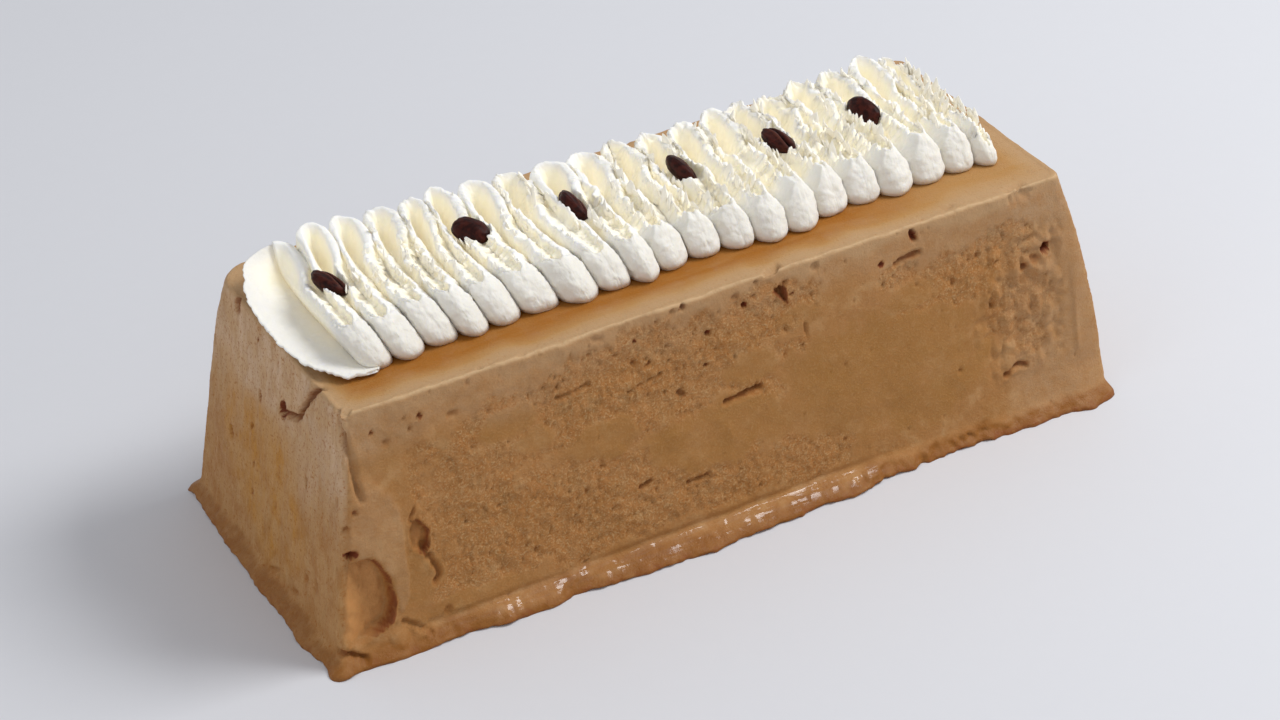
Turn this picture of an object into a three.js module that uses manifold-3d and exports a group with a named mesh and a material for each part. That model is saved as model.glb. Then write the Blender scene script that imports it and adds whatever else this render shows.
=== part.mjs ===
import * as THREE from 'three';
import Module from 'manifold-3d';
import { mergeGeometries, mergeVertices } from 'three/addons/utils/BufferGeometryUtils.js';

// Coffee semifreddo: a frozen loaf turned out of a 25 cm tin, with a zig-zag ruffle of
// piped cream along its top and six coffee beans pressed into the cream.
// Millimetres, +X along the loaf, -Y the long side with the broken foot, +Z up.

const wasm = await Module();
wasm.setup();

// The loaf: the melted foot is wider than the walls that stand in it.
const FOOT_LENGTH = 250;
const FOOT_WIDTH = 103.4;
const TOP_LENGTH = 224;
const TOP_WIDTH = 83.7;
const LOAF_HEIGHT = 73.5;
const MELT_WIDTH = 2.5;
const MELT_HEIGHT = 5;
const CORNER_RADIUS = 5;
const MELTED_CORNER_RADIUS = 9;
const EDGE_RADIUS = 2.5;
const CREAM_MARGIN = 12;
const WALL_RINGS = 11;

// Relief of the walls: the size of its lumps and how far they stand out.
const BROAD_LUMP = { size: 15, height: 0.6 };
const CRUMB = { size: 5.5, height: 0.45 };
const DRAG_MARK = { size: 3.4, height: 0.5, stretch: 0.12 };
const STRIP_DIP = 0.3;
const STRIP_LUMP = 9;

// The cream band: a ribbon piped to and fro with a turn every 10 mm or so. The lists say how
// far each front turn and each back loop strays along the loaf, and how far each reaches.
const GAP = 0.3;
const RUFFLE_HEIGHT = 12.3;
const FIRST_TURN_X = -93.2;
const FIRST_LOOP_X = -88.3;
const PITCH = 10.11;
const TAIL_WIDTH = 7;
const TURN_DRIFT = [
  0, -1.5, -0.5, -2.1, -2.7, -2.5, -0.3, 0.4, -1, -2,
  -1.7, -1.9, -2.5, -1.8, -0.9, -0.6, -0.8, 0.8, 1.1, 0,
];
const LOOP_DRIFT = [
  0, -1.2, -1, -1.7, -3.7, -2.9, -3.8, -1.3, -0.2, 1.3,
  1.4, 1.1, 1.5, 0.9, -0.5, 0.2, 2.5, 3.5, 1.6, -3,
];
const FRONT_REACH = [
  28.3, 28.8, 26.9, 28.3, 27.5, 26.9, 29.3, 27.9, 29.6, 27.3,
  26.7, 28.1, 30.2, 30, 26.5, 26.3, 27.9, 26.9, 26.4, 27.9,
];
const BACK_REACH = [
  30.2, 30.3, 28.5, 27.5, 29.6, 27, 26.6, 24.3, 25, 26.3,
  25.4, 23.8, 26.5, 25.7, 25.7, 28.5, 27.9, 29.5, 25.8, 22,
];
const NOSE_DEPTH = 5;
const NOSE_SLOPE = 8;
const FAR_NOSE_SLOPE = 6.5;
const LOOP_SLOPE = 1.4;
const VALLEY = { front: 1.8, middle: 6, back: 3.6 };
const CREST_UNEVENNESS = 0.8;
const BACK_RISE = 1.1;
const FIRST_LOOP_DROP = 2.8;

// How far the top of each turn leans back towards the first sheet in its front half.
const LEAN = [
  5.2, 5.2, 5.2, 5.2, 4.8, 4.8, 4.6, 3.8, 3.4, 2.4,
  2, 1.6, 0.8, 0.2, 0.4, 0.4, 0.2, 0.2, 0.4, 0.6,
];

// Where the two crests of a turn run, as shares of a half turn: fused in front, apart in the
// middle, and close again behind, where wide loops join each to its other neighbour.
const CREST_HALF = 0.08;
const CREST_SHARE_FRONT = 0.14;
const CREST_SHARE_MIDDLE = 0.48;
const CREST_SHARE_BACK = 0.22;
const LOOP_START = 0.86;

// Powers that shape a wall between crest and floor: bulging in front, straight behind.
const NOSE_BULGE = 1.7;
const LOOP_BULGE = 0.8;

// The first sheet of cream lies on its side over the end of the loaf, like a wide spoon.
const SHEET_FRONT_X = -96;
const SHEET_LOOP_X = -99;
const SHEET_ROOT_X = -93.5;
const SHEET_WIDTH = 17.3;
const SHEET_HALF_LENGTH = 28.4;
const SHEET_CENTRE_Y = -1.2;
const SHEET_THICKNESS = 2.4;
const SHEET_RIM = 0.9;
const SHEET_FLOOR = 2.2;
const SHEET_RIM_FRONT = 1.6;
const SHEET_RIM_MIDDLE = 5.4;
const SHEET_RIM_LOOP = 10.6;

// A roasted bean: half its length, width and height, and the crease of its flat side.
const BEAN_HALF = new THREE.Vector3(5.9, 3.9, 3.1);
const BEAN_FLAT = 0.55;
const CREASE_DEPTH = 0.9;
const CREASE_HALF_WIDTH = 0.22;

// Where the beans sit: along, across, above the loaf top, then turned in degrees:
// heading of the long axis, pitch of the front end, roll that lifts one side.
const BEANS = [
  { at: [-93.6, 2.6, 10.6], heading: -66, pitch: 12, roll: 150 },
  { at: [-50.4, 5.2, 10.8], heading: -58, pitch: 6, roll: 20 },
  { at: [-20, 2.6, 10.6], heading: -84, pitch: 14, roll: 130 },
  { at: [14.6, 3.6, 10.6], heading: -80, pitch: 12, roll: 125 },
  { at: [45.4, 2.4, 11], heading: -78, pitch: 8, roll: 168 },
  { at: [74.3, 3.2, 10.6], heading: -76, pitch: 10, roll: 60 },
];

// Breaks, holes and dents of the frozen face: side, place along it and height, half sizes,
// depth and slant in degrees. Those on the end face count along Y.
const HOLLOWS = [
  { side: 'front', along: -111.5, up: 17, half: [8, 15.5], depth: 7, slant: 6 },
  { side: 'front', along: -112.8, up: 66, half: [3, 12], depth: 1.8, slant: -4 },
  { side: 'front', along: -117, up: 3.5, half: [9, 4], depth: 3.5, slant: 0 },
  { side: 'front', along: -96, up: 34, half: [4.5, 8], depth: 1.6, slant: 10 },
  { side: 'front', along: -94, up: 22, half: [5, 5], depth: 1.4, slant: 0 },
  { side: 'front', along: -46.8, up: 58.6, half: [6, 3], depth: 1.6, slant: 5 },
  { side: 'front', along: 4, up: 40.2, half: [7, 3], depth: 2, slant: 6 },
  { side: 'front', along: 59.4, up: 64.3, half: [6, 2.8], depth: 1.8, slant: 5 },
  { side: 'front', along: 18.5, up: 66.5, half: [4.5, 4], depth: 2.2, slant: 30 },
  { side: 'front', along: 5.5, up: 67.5, half: [4.5, 4], depth: 1.8, slant: 0 },
  { side: 'front', along: 105.5, up: 53, half: [4, 5], depth: 2.6, slant: 10 },
  { side: 'front', along: 93, up: 18, half: [8, 3], depth: 1.6, slant: -20 },
  { side: 'front', along: -27, up: 23, half: [5, 3.5], depth: 1.5, slant: 0 },
  { side: 'front', along: -15.5, up: 46.5, half: [4.5, 3.5], depth: 1.6, slant: 20 },
  { side: 'front', along: -62, up: 73, half: [6, 3.5], depth: 1.8, slant: 0 },
  { side: 'front', along: -15, up: 73, half: [6, 4], depth: 2.2, slant: 0 },
  { side: 'front', along: 18.4, up: 73.5, half: [6, 4], depth: 2.2, slant: 0 },
  { side: 'front', along: 94.6, up: 73.5, half: [7, 5.5], depth: 4, slant: 0 },
  { side: 'left', along: -9.7, up: 57, half: [4.5, 6], depth: 3.4, slant: 15 },
  { side: 'left', along: -21, up: 64, half: [10, 3], depth: 1.5, slant: -42 },
  { side: 'left', along: 25.4, up: 71, half: [5.5, 5.5], depth: 2.4, slant: 0 },
  { side: 'left', along: 36, up: 54, half: [4, 4], depth: 1.6, slant: 0 },
  { side: 'left', along: 9.7, up: 67, half: [3.5, 3.5], depth: 1.4, slant: 0 },
  { side: 'left', along: 22, up: 35, half: [4.5, 4], depth: 1.6, slant: 0 },
];

// Puddled bulges of the melted foot: centre in plan, radius and how far they push out.
const BULGES = [
  { at: [125, -51.7], radius: 13, push: 3.6 },
  { at: [-125, -51.7], radius: 9, push: 1.8 },
  { at: [-60, -51.7], radius: 22, push: 0.9 },
  { at: [70, 51.7], radius: 26, push: 1.2 },
];

const SIDES = ['front', 'right', 'back', 'left'];
const SIDE_STEPS = { front: 56, right: 16, back: 26, left: 22 };
const CORNER_STEPS = 3;

function smooth(t) {
  const c = Math.min(1, Math.max(0, t));
  return c * c * (3 - 2 * c);
}

function mix(a, b, t) {
  return a + (b - a) * t;
}

// A repeatable draw between 0 and 1 for the lattice cell i, j, k.
function draw(i, j, k) {
  const wave = Math.sin(i * 127.1 + j * 311.7 + k * 74.7) * 43758.5453;
  return wave - Math.floor(wave);
}

// Smooth noise between -1 and 1 with lumps of the given size.
function lumps(x, y, z, size) {
  const [px, py, pz] = [x / size, y / size, z / size];
  const [i, j, k] = [Math.floor(px), Math.floor(py), Math.floor(pz)];
  const [fx, fy, fz] = [smooth(px - i), smooth(py - j), smooth(pz - k)];
  const row = (b, c) => mix(draw(i, j + b, k + c), draw(i + 1, j + b, k + c), fx);
  const layer = (c) => mix(row(0, c), row(1, c), fy);
  return 2 * mix(layer(0), layer(1), fz) - 1;
}

// Plan of the loaf at one level: half sizes and the radius of each corner.
function levelPlan(z) {
  const rise = z / LOAF_HEIGHT;
  const melt = MELT_WIDTH * (1 - (1 - Math.min(1, z / MELT_HEIGHT)) ** 2);
  const halfX = FOOT_LENGTH / 2 - melt - ((FOOT_LENGTH - TOP_LENGTH) / 2 - MELT_WIDTH) * rise;
  const halfY = FOOT_WIDTH / 2 - melt - ((FOOT_WIDTH - TOP_WIDTH) / 2 - MELT_WIDTH) * rise;
  return { halfX, halfY, melted: mix(CORNER_RADIUS, MELTED_CORNER_RADIUS, rise ** 3) };
}

// Columns round the loaf, anticlockwise from the near left corner, as side and share of it.
function loafColumns() {
  const columns = [];
  SIDES.forEach((side, s) => {
    for (let i = 0; i < SIDE_STEPS[side]; i += 1) {
      columns.push({ side, share: -1 + (2 * i) / SIDE_STEPS[side] });
    }
    for (let i = 0; i < CORNER_STEPS; i += 1) {
      columns.push({ side, corner: s, turn: (i / CORNER_STEPS) * (Math.PI / 2) });
    }
  });
  return columns;
}

// Point and outward direction of a column on a plan drawn in by inset.
function planPoint(column, plan, inset) {
  const [hx, hy] = [plan.halfX - inset, plan.halfY - inset];
  const s = SIDES.indexOf(column.side);
  const outward = new THREE.Vector2(0, -1).rotateAround(new THREE.Vector2(), (s * Math.PI) / 2);
  if (column.corner === undefined) {
    const run = new THREE.Vector2(-outward.y, outward.x);
    const reach = s % 2 === 0 ? hx : hy;
    const out = s % 2 === 0 ? hy : hx;
    const point = outward.clone().multiplyScalar(out);
    point.addScaledVector(run, column.share * (reach - CORNER_RADIUS));
    return { point, outward };
  }
  const radius = column.corner === 2 ? plan.melted : CORNER_RADIUS;
  const signX = s === 0 || s === 1 ? 1 : -1;
  const signY = s === 1 || s === 2 ? 1 : -1;
  outward.rotateAround(new THREE.Vector2(), column.turn);
  const point = new THREE.Vector2(signX * (hx - radius), signY * (hy - radius));
  return { point: point.addScaledVector(outward, radius), outward };
}

// How far a hollow cuts into its side at a point of the wall.
function hollowDepth(hollow, point, outward, z) {
  const facing = hollow.side === 'front' ? -outward.y : -outward.x;
  if (facing <= 0.2) return 0;
  const along = (hollow.side === 'front' ? point.x : point.y) - hollow.along;
  const slant = THREE.MathUtils.degToRad(hollow.slant);
  const a = along * Math.cos(slant) + (z - hollow.up) * Math.sin(slant);
  const b = (z - hollow.up) * Math.cos(slant) - along * Math.sin(slant);
  const q = (a / hollow.half[0]) ** 2 + (b / hollow.half[1]) ** 2;
  return q < 1 ? hollow.depth * (1 - q) ** 1.2 * facing : 0;
}

// Outward relief of the wall: crumbly lumps, drag marks on the ends, hollows and bulges.
function wallRelief(point, outward, z) {
  const fade = smooth(z / MELT_HEIGHT);
  const streaks = lumps(point.x, point.y, z * DRAG_MARK.stretch, DRAG_MARK.size);
  const drag = Math.abs(outward.x) * DRAG_MARK.height * streaks;
  const crumb = Math.abs(outward.y) * CRUMB.height * lumps(point.x, point.y, z, CRUMB.size);
  const broad = BROAD_LUMP.height * lumps(point.x, point.y, z, BROAD_LUMP.size);
  let relief = broad + fade * (drag + crumb);
  for (const hollow of HOLLOWS) relief -= hollowDepth(hollow, point, outward, z);
  for (const { at, radius, push } of BULGES) {
    const q = Math.hypot(point.x - at[0], point.y - at[1]) / radius;
    relief += push * (1 - smooth(q)) * (1 - smooth((z - 2) / (2 * MELT_HEIGHT)));
  }
  return relief;
}

// Rings of the loaf from the top inwards edge down to the foot: height and inset.
function loafRings() {
  const rings = [
    { z: LOAF_HEIGHT, inset: CREAM_MARGIN, rough: 0 },
    { z: LOAF_HEIGHT, inset: CREAM_MARGIN / 2, rough: 0 },
    { z: LOAF_HEIGHT, inset: EDGE_RADIUS, rough: 0.3 },
    { z: LOAF_HEIGHT - 0.3 * EDGE_RADIUS, inset: 0.3 * EDGE_RADIUS, rough: 0.8 },
  ];
  const start = LOAF_HEIGHT - EDGE_RADIUS;
  for (let i = 0; i <= WALL_RINGS; i += 1) {
    rings.push({ z: mix(start, MELT_HEIGHT, i / WALL_RINGS), inset: 0, rough: 1 });
  }
  rings.push({ z: 0.35 * MELT_HEIGHT, inset: 0, rough: 1 });
  rings.push({ z: 0, inset: 0, rough: 1 });
  return rings;
}

function ringPoint(column, ring) {
  const plan = levelPlan(ring.z);
  const { point, outward } = planPoint(column, plan, ring.inset);
  const relief = ring.rough * wallRelief(point, outward, ring.z);
  point.addScaledVector(outward, relief);
  const onEdge = ring.rough > 0 && ring.rough < 1;
  const dip = onEdge ? STRIP_DIP * (1 + lumps(point.x, point.y, 0, STRIP_LUMP)) : 0;
  return new THREE.Vector3(point.x, point.y, ring.z - dip * ring.rough);
}

// Flat cover over a loop of points that go anticlockwise seen from above.
function flatCover(loop, upward) {
  const flat = loop.map((p) => new THREE.Vector2(p.x, p.y));
  const positions = [];
  for (const [a, b, c] of THREE.ShapeUtils.triangulateShape(flat, [])) {
    const order = upward ? [a, b, c] : [a, c, b];
    for (const index of order) positions.push(...loop[index].toArray());
  }
  const cover = new THREE.BufferGeometry();
  cover.setAttribute('position', new THREE.Float32BufferAttribute(positions, 3));
  return cover;
}

// One closed body from open pieces that share their border points.
function weld(pieces) {
  const plain = pieces.map((piece) => {
    const open = piece.index ? piece.toNonIndexed() : piece;
    open.deleteAttribute('normal');
    open.deleteAttribute('uv');
    return open;
  });
  return mergeVertices(mergeGeometries(plain), 1e-4);
}

function loafGeometry() {
  const columns = loafColumns();
  const rings = loafRings();
  const shell = new THREE.CylinderGeometry(1, 1, 1, columns.length, rings.length - 1, true);
  const position = shell.attributes.position;
  for (let k = 0; k < position.count; k += 1) {
    const column = columns[(k % (columns.length + 1)) % columns.length];
    const ring = rings[Math.floor(k / (columns.length + 1))];
    position.setXYZ(k, ...ringPoint(column, ring).toArray());
  }
  const top = flatCover(columns.map((column) => ringPoint(column, rings[0])), true);
  const foot = flatCover(columns.map((column) => ringPoint(column, rings.at(-1))), false);
  return weld([shell, top, foot]);
}

// Front turn i of the ribbon, counted from the left end.
function turnX(i) {
  return FIRST_TURN_X + i * PITCH + TURN_DRIFT[i];
}

// Crevice in front between turn i and the next one.
function creviceX(i) {
  const left = i < 0 ? turnX(0) - PITCH : turnX(i);
  const right = i + 1 < TURNS ? turnX(i + 1) : turnX(i) + TAIL_WIDTH;
  return (left + right) / 2;
}

// Back loop that joins turn i to the next one; loop -1 belongs to the first sheet.
function loopX(i) {
  return i < 0 ? SHEET_LOOP_X : FIRST_LOOP_X + i * PITCH + LOOP_DRIFT[i];
}

// Share of the half turn from its middle to its edge, where the crest runs at depth v.
function crestShare(v) {
  const opening = mix(CREST_SHARE_FRONT, CREST_SHARE_MIDDLE, smooth(v / 0.45));
  return mix(opening, CREST_SHARE_BACK, smooth((v - 0.5) / 0.38));
}

// The nine lines across one turn, as shares from -1 to 1, crests included.
function turnLines(v) {
  const crest = crestShare(v);
  const half = [crest - CREST_HALF, crest + CREST_HALF, (1 + crest + CREST_HALF) / 2, 1];
  return [...half.map((a) => -a).reverse(), 0, ...half];
}

const TURNS = TURN_DRIFT.length;
const LINES_PER_TURN = 8;
const ROWS = [
  0, 0.012, 0.04, 0.09, 0.16, 0.26, 0.37, 0.48, 0.59, 0.7, 0.8, 0.88, 0.94, 0.975, 1,
];

// Floor of the valley between two turns at depth v: low between the noses, filled behind them.
function valleyFloor(v) {
  const rising = mix(VALLEY.front, VALLEY.middle, smooth((v - 0.06) / 0.2));
  return mix(rising, VALLEY.back, smooth((v - 0.5) / 0.25));
}

// Height of the cream above its foot across a turn: crest, slit inside, valley outside.
function turnHeight(share, v, top) {
  const crest = crestShare(v);
  const valley = mix(valleyFloor(v), top - 0.2, smooth((v - LOOP_START) / 0.115));
  const slit = mix(top - 1, VALLEY.back, smooth(v / LOOP_START));
  const d = Math.abs(share) - crest;
  if (Math.abs(d) <= CREST_HALF + 1e-6) return top;
  const outside = d > 0;
  const room = outside ? 1 - crest - CREST_HALF : crest - CREST_HALF;
  const t = (Math.abs(d) - CREST_HALF) / room;
  const bulge = mix(NOSE_BULGE, LOOP_BULGE, smooth((v - 0.15) / 0.4));
  return mix(top, outside ? valley : slit, t ** bulge);
}

// Limit of the height near the rounded nose of turn i in front and the loops behind.
function edgeHeight(i, front, back) {
  const slope = mix(NOSE_SLOPE, FAR_NOSE_SLOPE, smooth((i - 6) / 5));
  const nose = Math.min(1, Math.max(0, front) / slope) ** 0.5;
  const loop = Math.min(1, Math.max(0, back) / LOOP_SLOPE) ** 0.5;
  return (RUFFLE_HEIGHT + CREST_UNEVENNESS + BACK_RISE) * Math.min(nose, loop);
}

// A point of the ruffle's upper face on turn i, at a share across it and depth v.
function rufflePoint(i, share, v, atEnd) {
  const a = Math.abs(share);
  const side = share < 0 ? i - 1 : i;
  const other = Math.min(TURNS - 1, Math.max(0, share < 0 ? i - 1 : i + 1));
  const xFront = mix(turnX(i), creviceX(side), a);
  const xBack = mix((loopX(i - 1) + loopX(i)) / 2, loopX(side), a);
  const near = mix(FRONT_REACH[i], (FRONT_REACH[i] + FRONT_REACH[other]) / 2, a);
  const reach = (k) => BACK_REACH[Math.max(0, k)];
  const far = mix((reach(i - 1) + reach(i)) / 2, reach(side), a);
  const yFront = -near + NOSE_DEPTH * (1 - Math.sqrt(1 - a * a));
  const yBack = far - NOSE_DEPTH * (1 - Math.sqrt(1 - (1 - a) ** 2));
  const x = mix(xFront, xBack, v);
  const y = mix(yFront, yBack, v);
  const uneven = CREST_UNEVENNESS * lumps(x * 1.4, y * 0.5, i, 9);
  const drop = side < 0 ? FIRST_LOOP_DROP * smooth((v - 0.45) / 0.3) : 0;
  const top = RUFFLE_HEIGHT + uneven + BACK_RISE * smooth((v - 0.6) / 0.3) - drop;
  const height = Math.min(turnHeight(share, v, top), edgeHeight(i, y - yFront, yBack - y));
  const h = atEnd ? 0 : height;
  const lean = mix(LEAN[i], 0, smooth((v - 0.45) / 0.5)) * (h / RUFFLE_HEIGHT);
  return new THREE.Vector3(x - lean, y, LOAF_HEIGHT + GAP + h);
}

function ruffleGeometry() {
  const columns = TURNS * LINES_PER_TURN;
  const rows = ROWS.length - 1;
  const sheet = new THREE.PlaneGeometry(1, 1, columns, rows);
  const pointAt = (column, row) => {
    const v = ROWS[rows - row];
    const i = Math.min(TURNS - 1, Math.floor(column / LINES_PER_TURN));
    const share = turnLines(v)[column - i * LINES_PER_TURN];
    return rufflePoint(i, share, v, column === 0 || column === columns);
  };
  const position = sheet.attributes.position;
  for (let k = 0; k < position.count; k += 1) {
    const point = pointAt(k % (columns + 1), Math.floor(k / (columns + 1)));
    position.setXYZ(k, point.x, point.y, point.z);
  }
  const loop = [];
  for (let c = 0; c < columns; c += 1) loop.push(pointAt(c, rows));
  for (let r = rows; r > 0; r -= 1) loop.push(pointAt(columns, r));
  for (let c = columns; c > 0; c -= 1) loop.push(pointAt(c, 0));
  for (let r = 0; r < rows; r += 1) loop.push(pointAt(0, r));
  return weld([sheet, flatCover(loop, false)]);
}

// A point of the spoon-like first sheet: s from its front tip to its back loop,
// r from its root to its thin rim, on its upper or its lower face.
function sheetPoint(s, r, upper) {
  const turn = (s - 0.5) * Math.PI;
  const rimEnd = mix(SHEET_FRONT_X, SHEET_LOOP_X, s);
  const rimX = rimEnd - SHEET_WIDTH * Math.max(0, Math.cos(turn)) ** 0.7;
  const rimY = SHEET_CENTRE_Y + SHEET_HALF_LENGTH * Math.sin(turn);
  const rootY = SHEET_CENTRE_Y + (SHEET_HALF_LENGTH - 3) * Math.sin(turn);
  const low = mix(SHEET_RIM_FRONT, SHEET_RIM_MIDDLE, smooth(s * 1.4));
  const rim = mix(low, SHEET_RIM_LOOP, smooth((s - 0.62) / 0.3));
  const ragged = r > 0.95 ? 0.6 * lumps(rimX, rimY, 0, 4) : 0;
  const x = mix(SHEET_ROOT_X, rimX + ragged, r);
  const y = mix(rootY, rimY, r);
  const top = mix(SHEET_FLOOR, rim, r ** 2) + 0.25 * lumps(x, y, 0, 7) * r;
  const h = upper ? top : Math.max(0, top - mix(SHEET_THICKNESS, SHEET_RIM, r));
  return new THREE.Vector3(x, y, LOAF_HEIGHT + GAP + h);
}

function sheetGeometry() {
  const sheet = new THREE.BoxGeometry(1, 1, 1, 18, 5, 1);
  const position = sheet.attributes.position;
  for (let k = 0; k < position.count; k += 1) {
    const s = position.getX(k) + 0.5;
    const r = position.getY(k) + 0.5;
    const point = sheetPoint(s, r, position.getZ(k) > 0);
    position.setXYZ(k, point.x, point.y, point.z);
  }
  return weld([sheet]);
}

function beanGeometry() {
  const bean = new THREE.SphereGeometry(1, 12, 9);
  bean.rotateZ(Math.PI / 2);
  const position = bean.attributes.position;
  for (let k = 0; k < position.count; k += 1) {
    const [x, y, z] = [position.getX(k), position.getY(k), position.getZ(k)];
    const under = z < -1e-6;
    const flat = under ? BEAN_FLAT : 1;
    const bend = y - 0.12 * Math.sin(x * 2.6);
    const crease = under ? Math.exp(-((bend / CREASE_HALF_WIDTH) ** 2)) * (1 - x * x) : 0;
    const depth = z * flat * BEAN_HALF.z + CREASE_DEPTH * crease;
    position.setXYZ(k, x * BEAN_HALF.x, y * BEAN_HALF.y, depth);
  }
  return weld([bean]);
}

function placeBean(mesh, { at, heading, pitch, roll }) {
  const [h, p, r] = [heading, pitch, roll].map(THREE.MathUtils.degToRad);
  mesh.rotation.set(r, p, h, 'ZYX');
  mesh.position.set(at[0], at[1], LOAF_HEIGHT + GAP + at[2]);
  mesh.updateMatrix();
  return mesh;
}

function solidOf(geometry) {
  return new wasm.Manifold(new wasm.Mesh({
    numProp: 3,
    vertProperties: geometry.attributes.position.array,
    triVerts: new Uint32Array(geometry.index.array),
  }));
}

function geometryOf(solid) {
  const mesh = solid.getMesh();
  const geometry = new THREE.BufferGeometry();
  geometry.setAttribute('position', new THREE.BufferAttribute(mesh.vertProperties, 3));
  geometry.setIndex(new THREE.BufferAttribute(mesh.triVerts, 1));
  return geometry;
}

// The seat that a bean presses into the cream: the bean grown by the gap.
function beanSeat(bean) {
  const grow = new THREE.Vector3();
  grow.set(1 + GAP / BEAN_HALF.x, 1 + GAP / BEAN_HALF.y, 1 + (2 * GAP) / BEAN_HALF.z);
  const seat = bean.geometry.clone().scale(grow.x, grow.y, grow.z);
  return solidOf(seat.applyMatrix4(bean.matrix));
}

// The largest body of a solid, without the scraps that a cut leaves loose.
function largestBody(solid) {
  const bodies = solid.decompose();
  return bodies.reduce((best, body) => (body.volume() > best.volume() ? body : best));
}

function creamGeometry(beans) {
  let cream = solidOf(ruffleGeometry()).add(solidOf(sheetGeometry()));
  for (const bean of beans) cream = cream.subtract(beanSeat(bean));
  return geometryOf(largestBody(cream));
}

const frozenCoffee = new THREE.MeshStandardMaterial({
  color: '#a07850', roughness: 0.75, metalness: 0, flatShading: true,
});
const whippedCream = new THREE.MeshStandardMaterial({
  color: '#f0ede0', roughness: 0.5, metalness: 0, flatShading: true,
});
const roastedBean = new THREE.MeshStandardMaterial({
  color: '#3a211c', roughness: 0.45, metalness: 0, flatShading: true,
});

function namedMesh(name, geometry, material) {
  geometry.computeVertexNormals();
  const mesh = new THREE.Mesh(geometry, material);
  mesh.name = name;
  return mesh;
}

const beans = BEANS.map((seat, i) => {
  const bean = namedMesh(`coffee_bean_${i + 1}`, beanGeometry(), roastedBean.clone());
  return placeBean(bean, seat);
});
const group = new THREE.Group();
group.add(namedMesh('semifreddo_loaf', loafGeometry(), frozenCoffee));
group.add(namedMesh('cream_ruffle', creamGeometry(beans), whippedCream));
group.add(...beans);

export default group;
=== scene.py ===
import math
from functools import partial
from types import SimpleNamespace

import bpy
import numpy as np
from bpy.props import FloatProperty, FloatVectorProperty, IntProperty, PointerProperty
from mathutils import Euler, Matrix, Vector


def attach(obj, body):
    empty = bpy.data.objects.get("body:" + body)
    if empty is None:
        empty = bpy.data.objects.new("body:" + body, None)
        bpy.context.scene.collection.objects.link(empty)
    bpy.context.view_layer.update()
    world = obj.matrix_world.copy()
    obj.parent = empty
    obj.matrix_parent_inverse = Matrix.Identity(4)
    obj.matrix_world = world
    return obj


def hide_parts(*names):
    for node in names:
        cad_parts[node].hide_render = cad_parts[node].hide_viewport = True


bl_info = {
    "name": "Coffee semifreddo",
    "version": (1, 0, 0),
    "blender": (4, 5, 0),
    "location": "3D View > Sidebar > Semifreddo",
    "description": "Models a frozen coffee loaf with a piped ruffle of cream and roasted beans",
    "category": "Add Mesh",
}

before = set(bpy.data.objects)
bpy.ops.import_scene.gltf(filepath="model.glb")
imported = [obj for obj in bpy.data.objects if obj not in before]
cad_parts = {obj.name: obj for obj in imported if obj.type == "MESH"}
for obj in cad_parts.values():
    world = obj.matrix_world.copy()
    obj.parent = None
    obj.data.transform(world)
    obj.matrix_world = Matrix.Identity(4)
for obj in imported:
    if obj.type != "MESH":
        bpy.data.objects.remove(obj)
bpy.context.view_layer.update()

MM = 0.001
SEED = 11
DRAW_FACTORS = (127.1, 311.7, 74.7, 43758.5453)

# The loaf's four sides, anticlockwise from the long one with the broken foot.
SIDES = ("front", "right", "back", "left")

# Steps round the loaf: fine on the two sides that stay in view, coarser behind.
SIDE_STEPS = {"front": 480, "right": 44, "back": 84, "left": 142}
CORNER_STEPS = 14

# In mm: the rounded corners, the melted one at the far left, how far the melted foot stands out
# and how high it reaches, and the rounded top edge.
CORNER_RADIUS = 3.0
MELTED_CORNER_RADIUS = 10.0
MELT_WIDTH = 2.5
MELT_HEIGHT = 4.2
EDGE_RADIUS = 0.8

# Rings of the loaf's skin: how far those of the flat top lie inside its edge in mm, the turns of
# the rounded edge in degrees, the number down the wall and the heights of those at the foot.
TOP_INSETS = (27, 21, 16.5, 14, 12.2, 10.8, 9.6, 8.5, 7.5, 6.6, 5.8, 5.1, 4.4, 3.7, 3.0, 2.3, 1.7)
EDGE_TURNS = (0, 22, 45, 68)
WALL_RINGS = 92
FOOT_RINGS = (3.7, 3.2, 2.7, 2.2, 1.7, 1.2, 0.8, 0.4, 0.0)

# Distance in metres within which the ends of a closed grid are joined, and the steps in which
# a weight between 0 and 1 is kept.
JOIN_WITHIN = 2e-6
WEIGHT_STEPS = 12

# Reliefs laid over the finished forms: size of their lumps and height, in mm.
LOAF_CRUMBS = (0.9, 0.65)
CREAM_DIMPLES = (2.8, 0.9)
CREAM_WRINKLES = (1.1, 0.4)
SHEET_DIMPLES = (1.8, 0.2)

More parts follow.
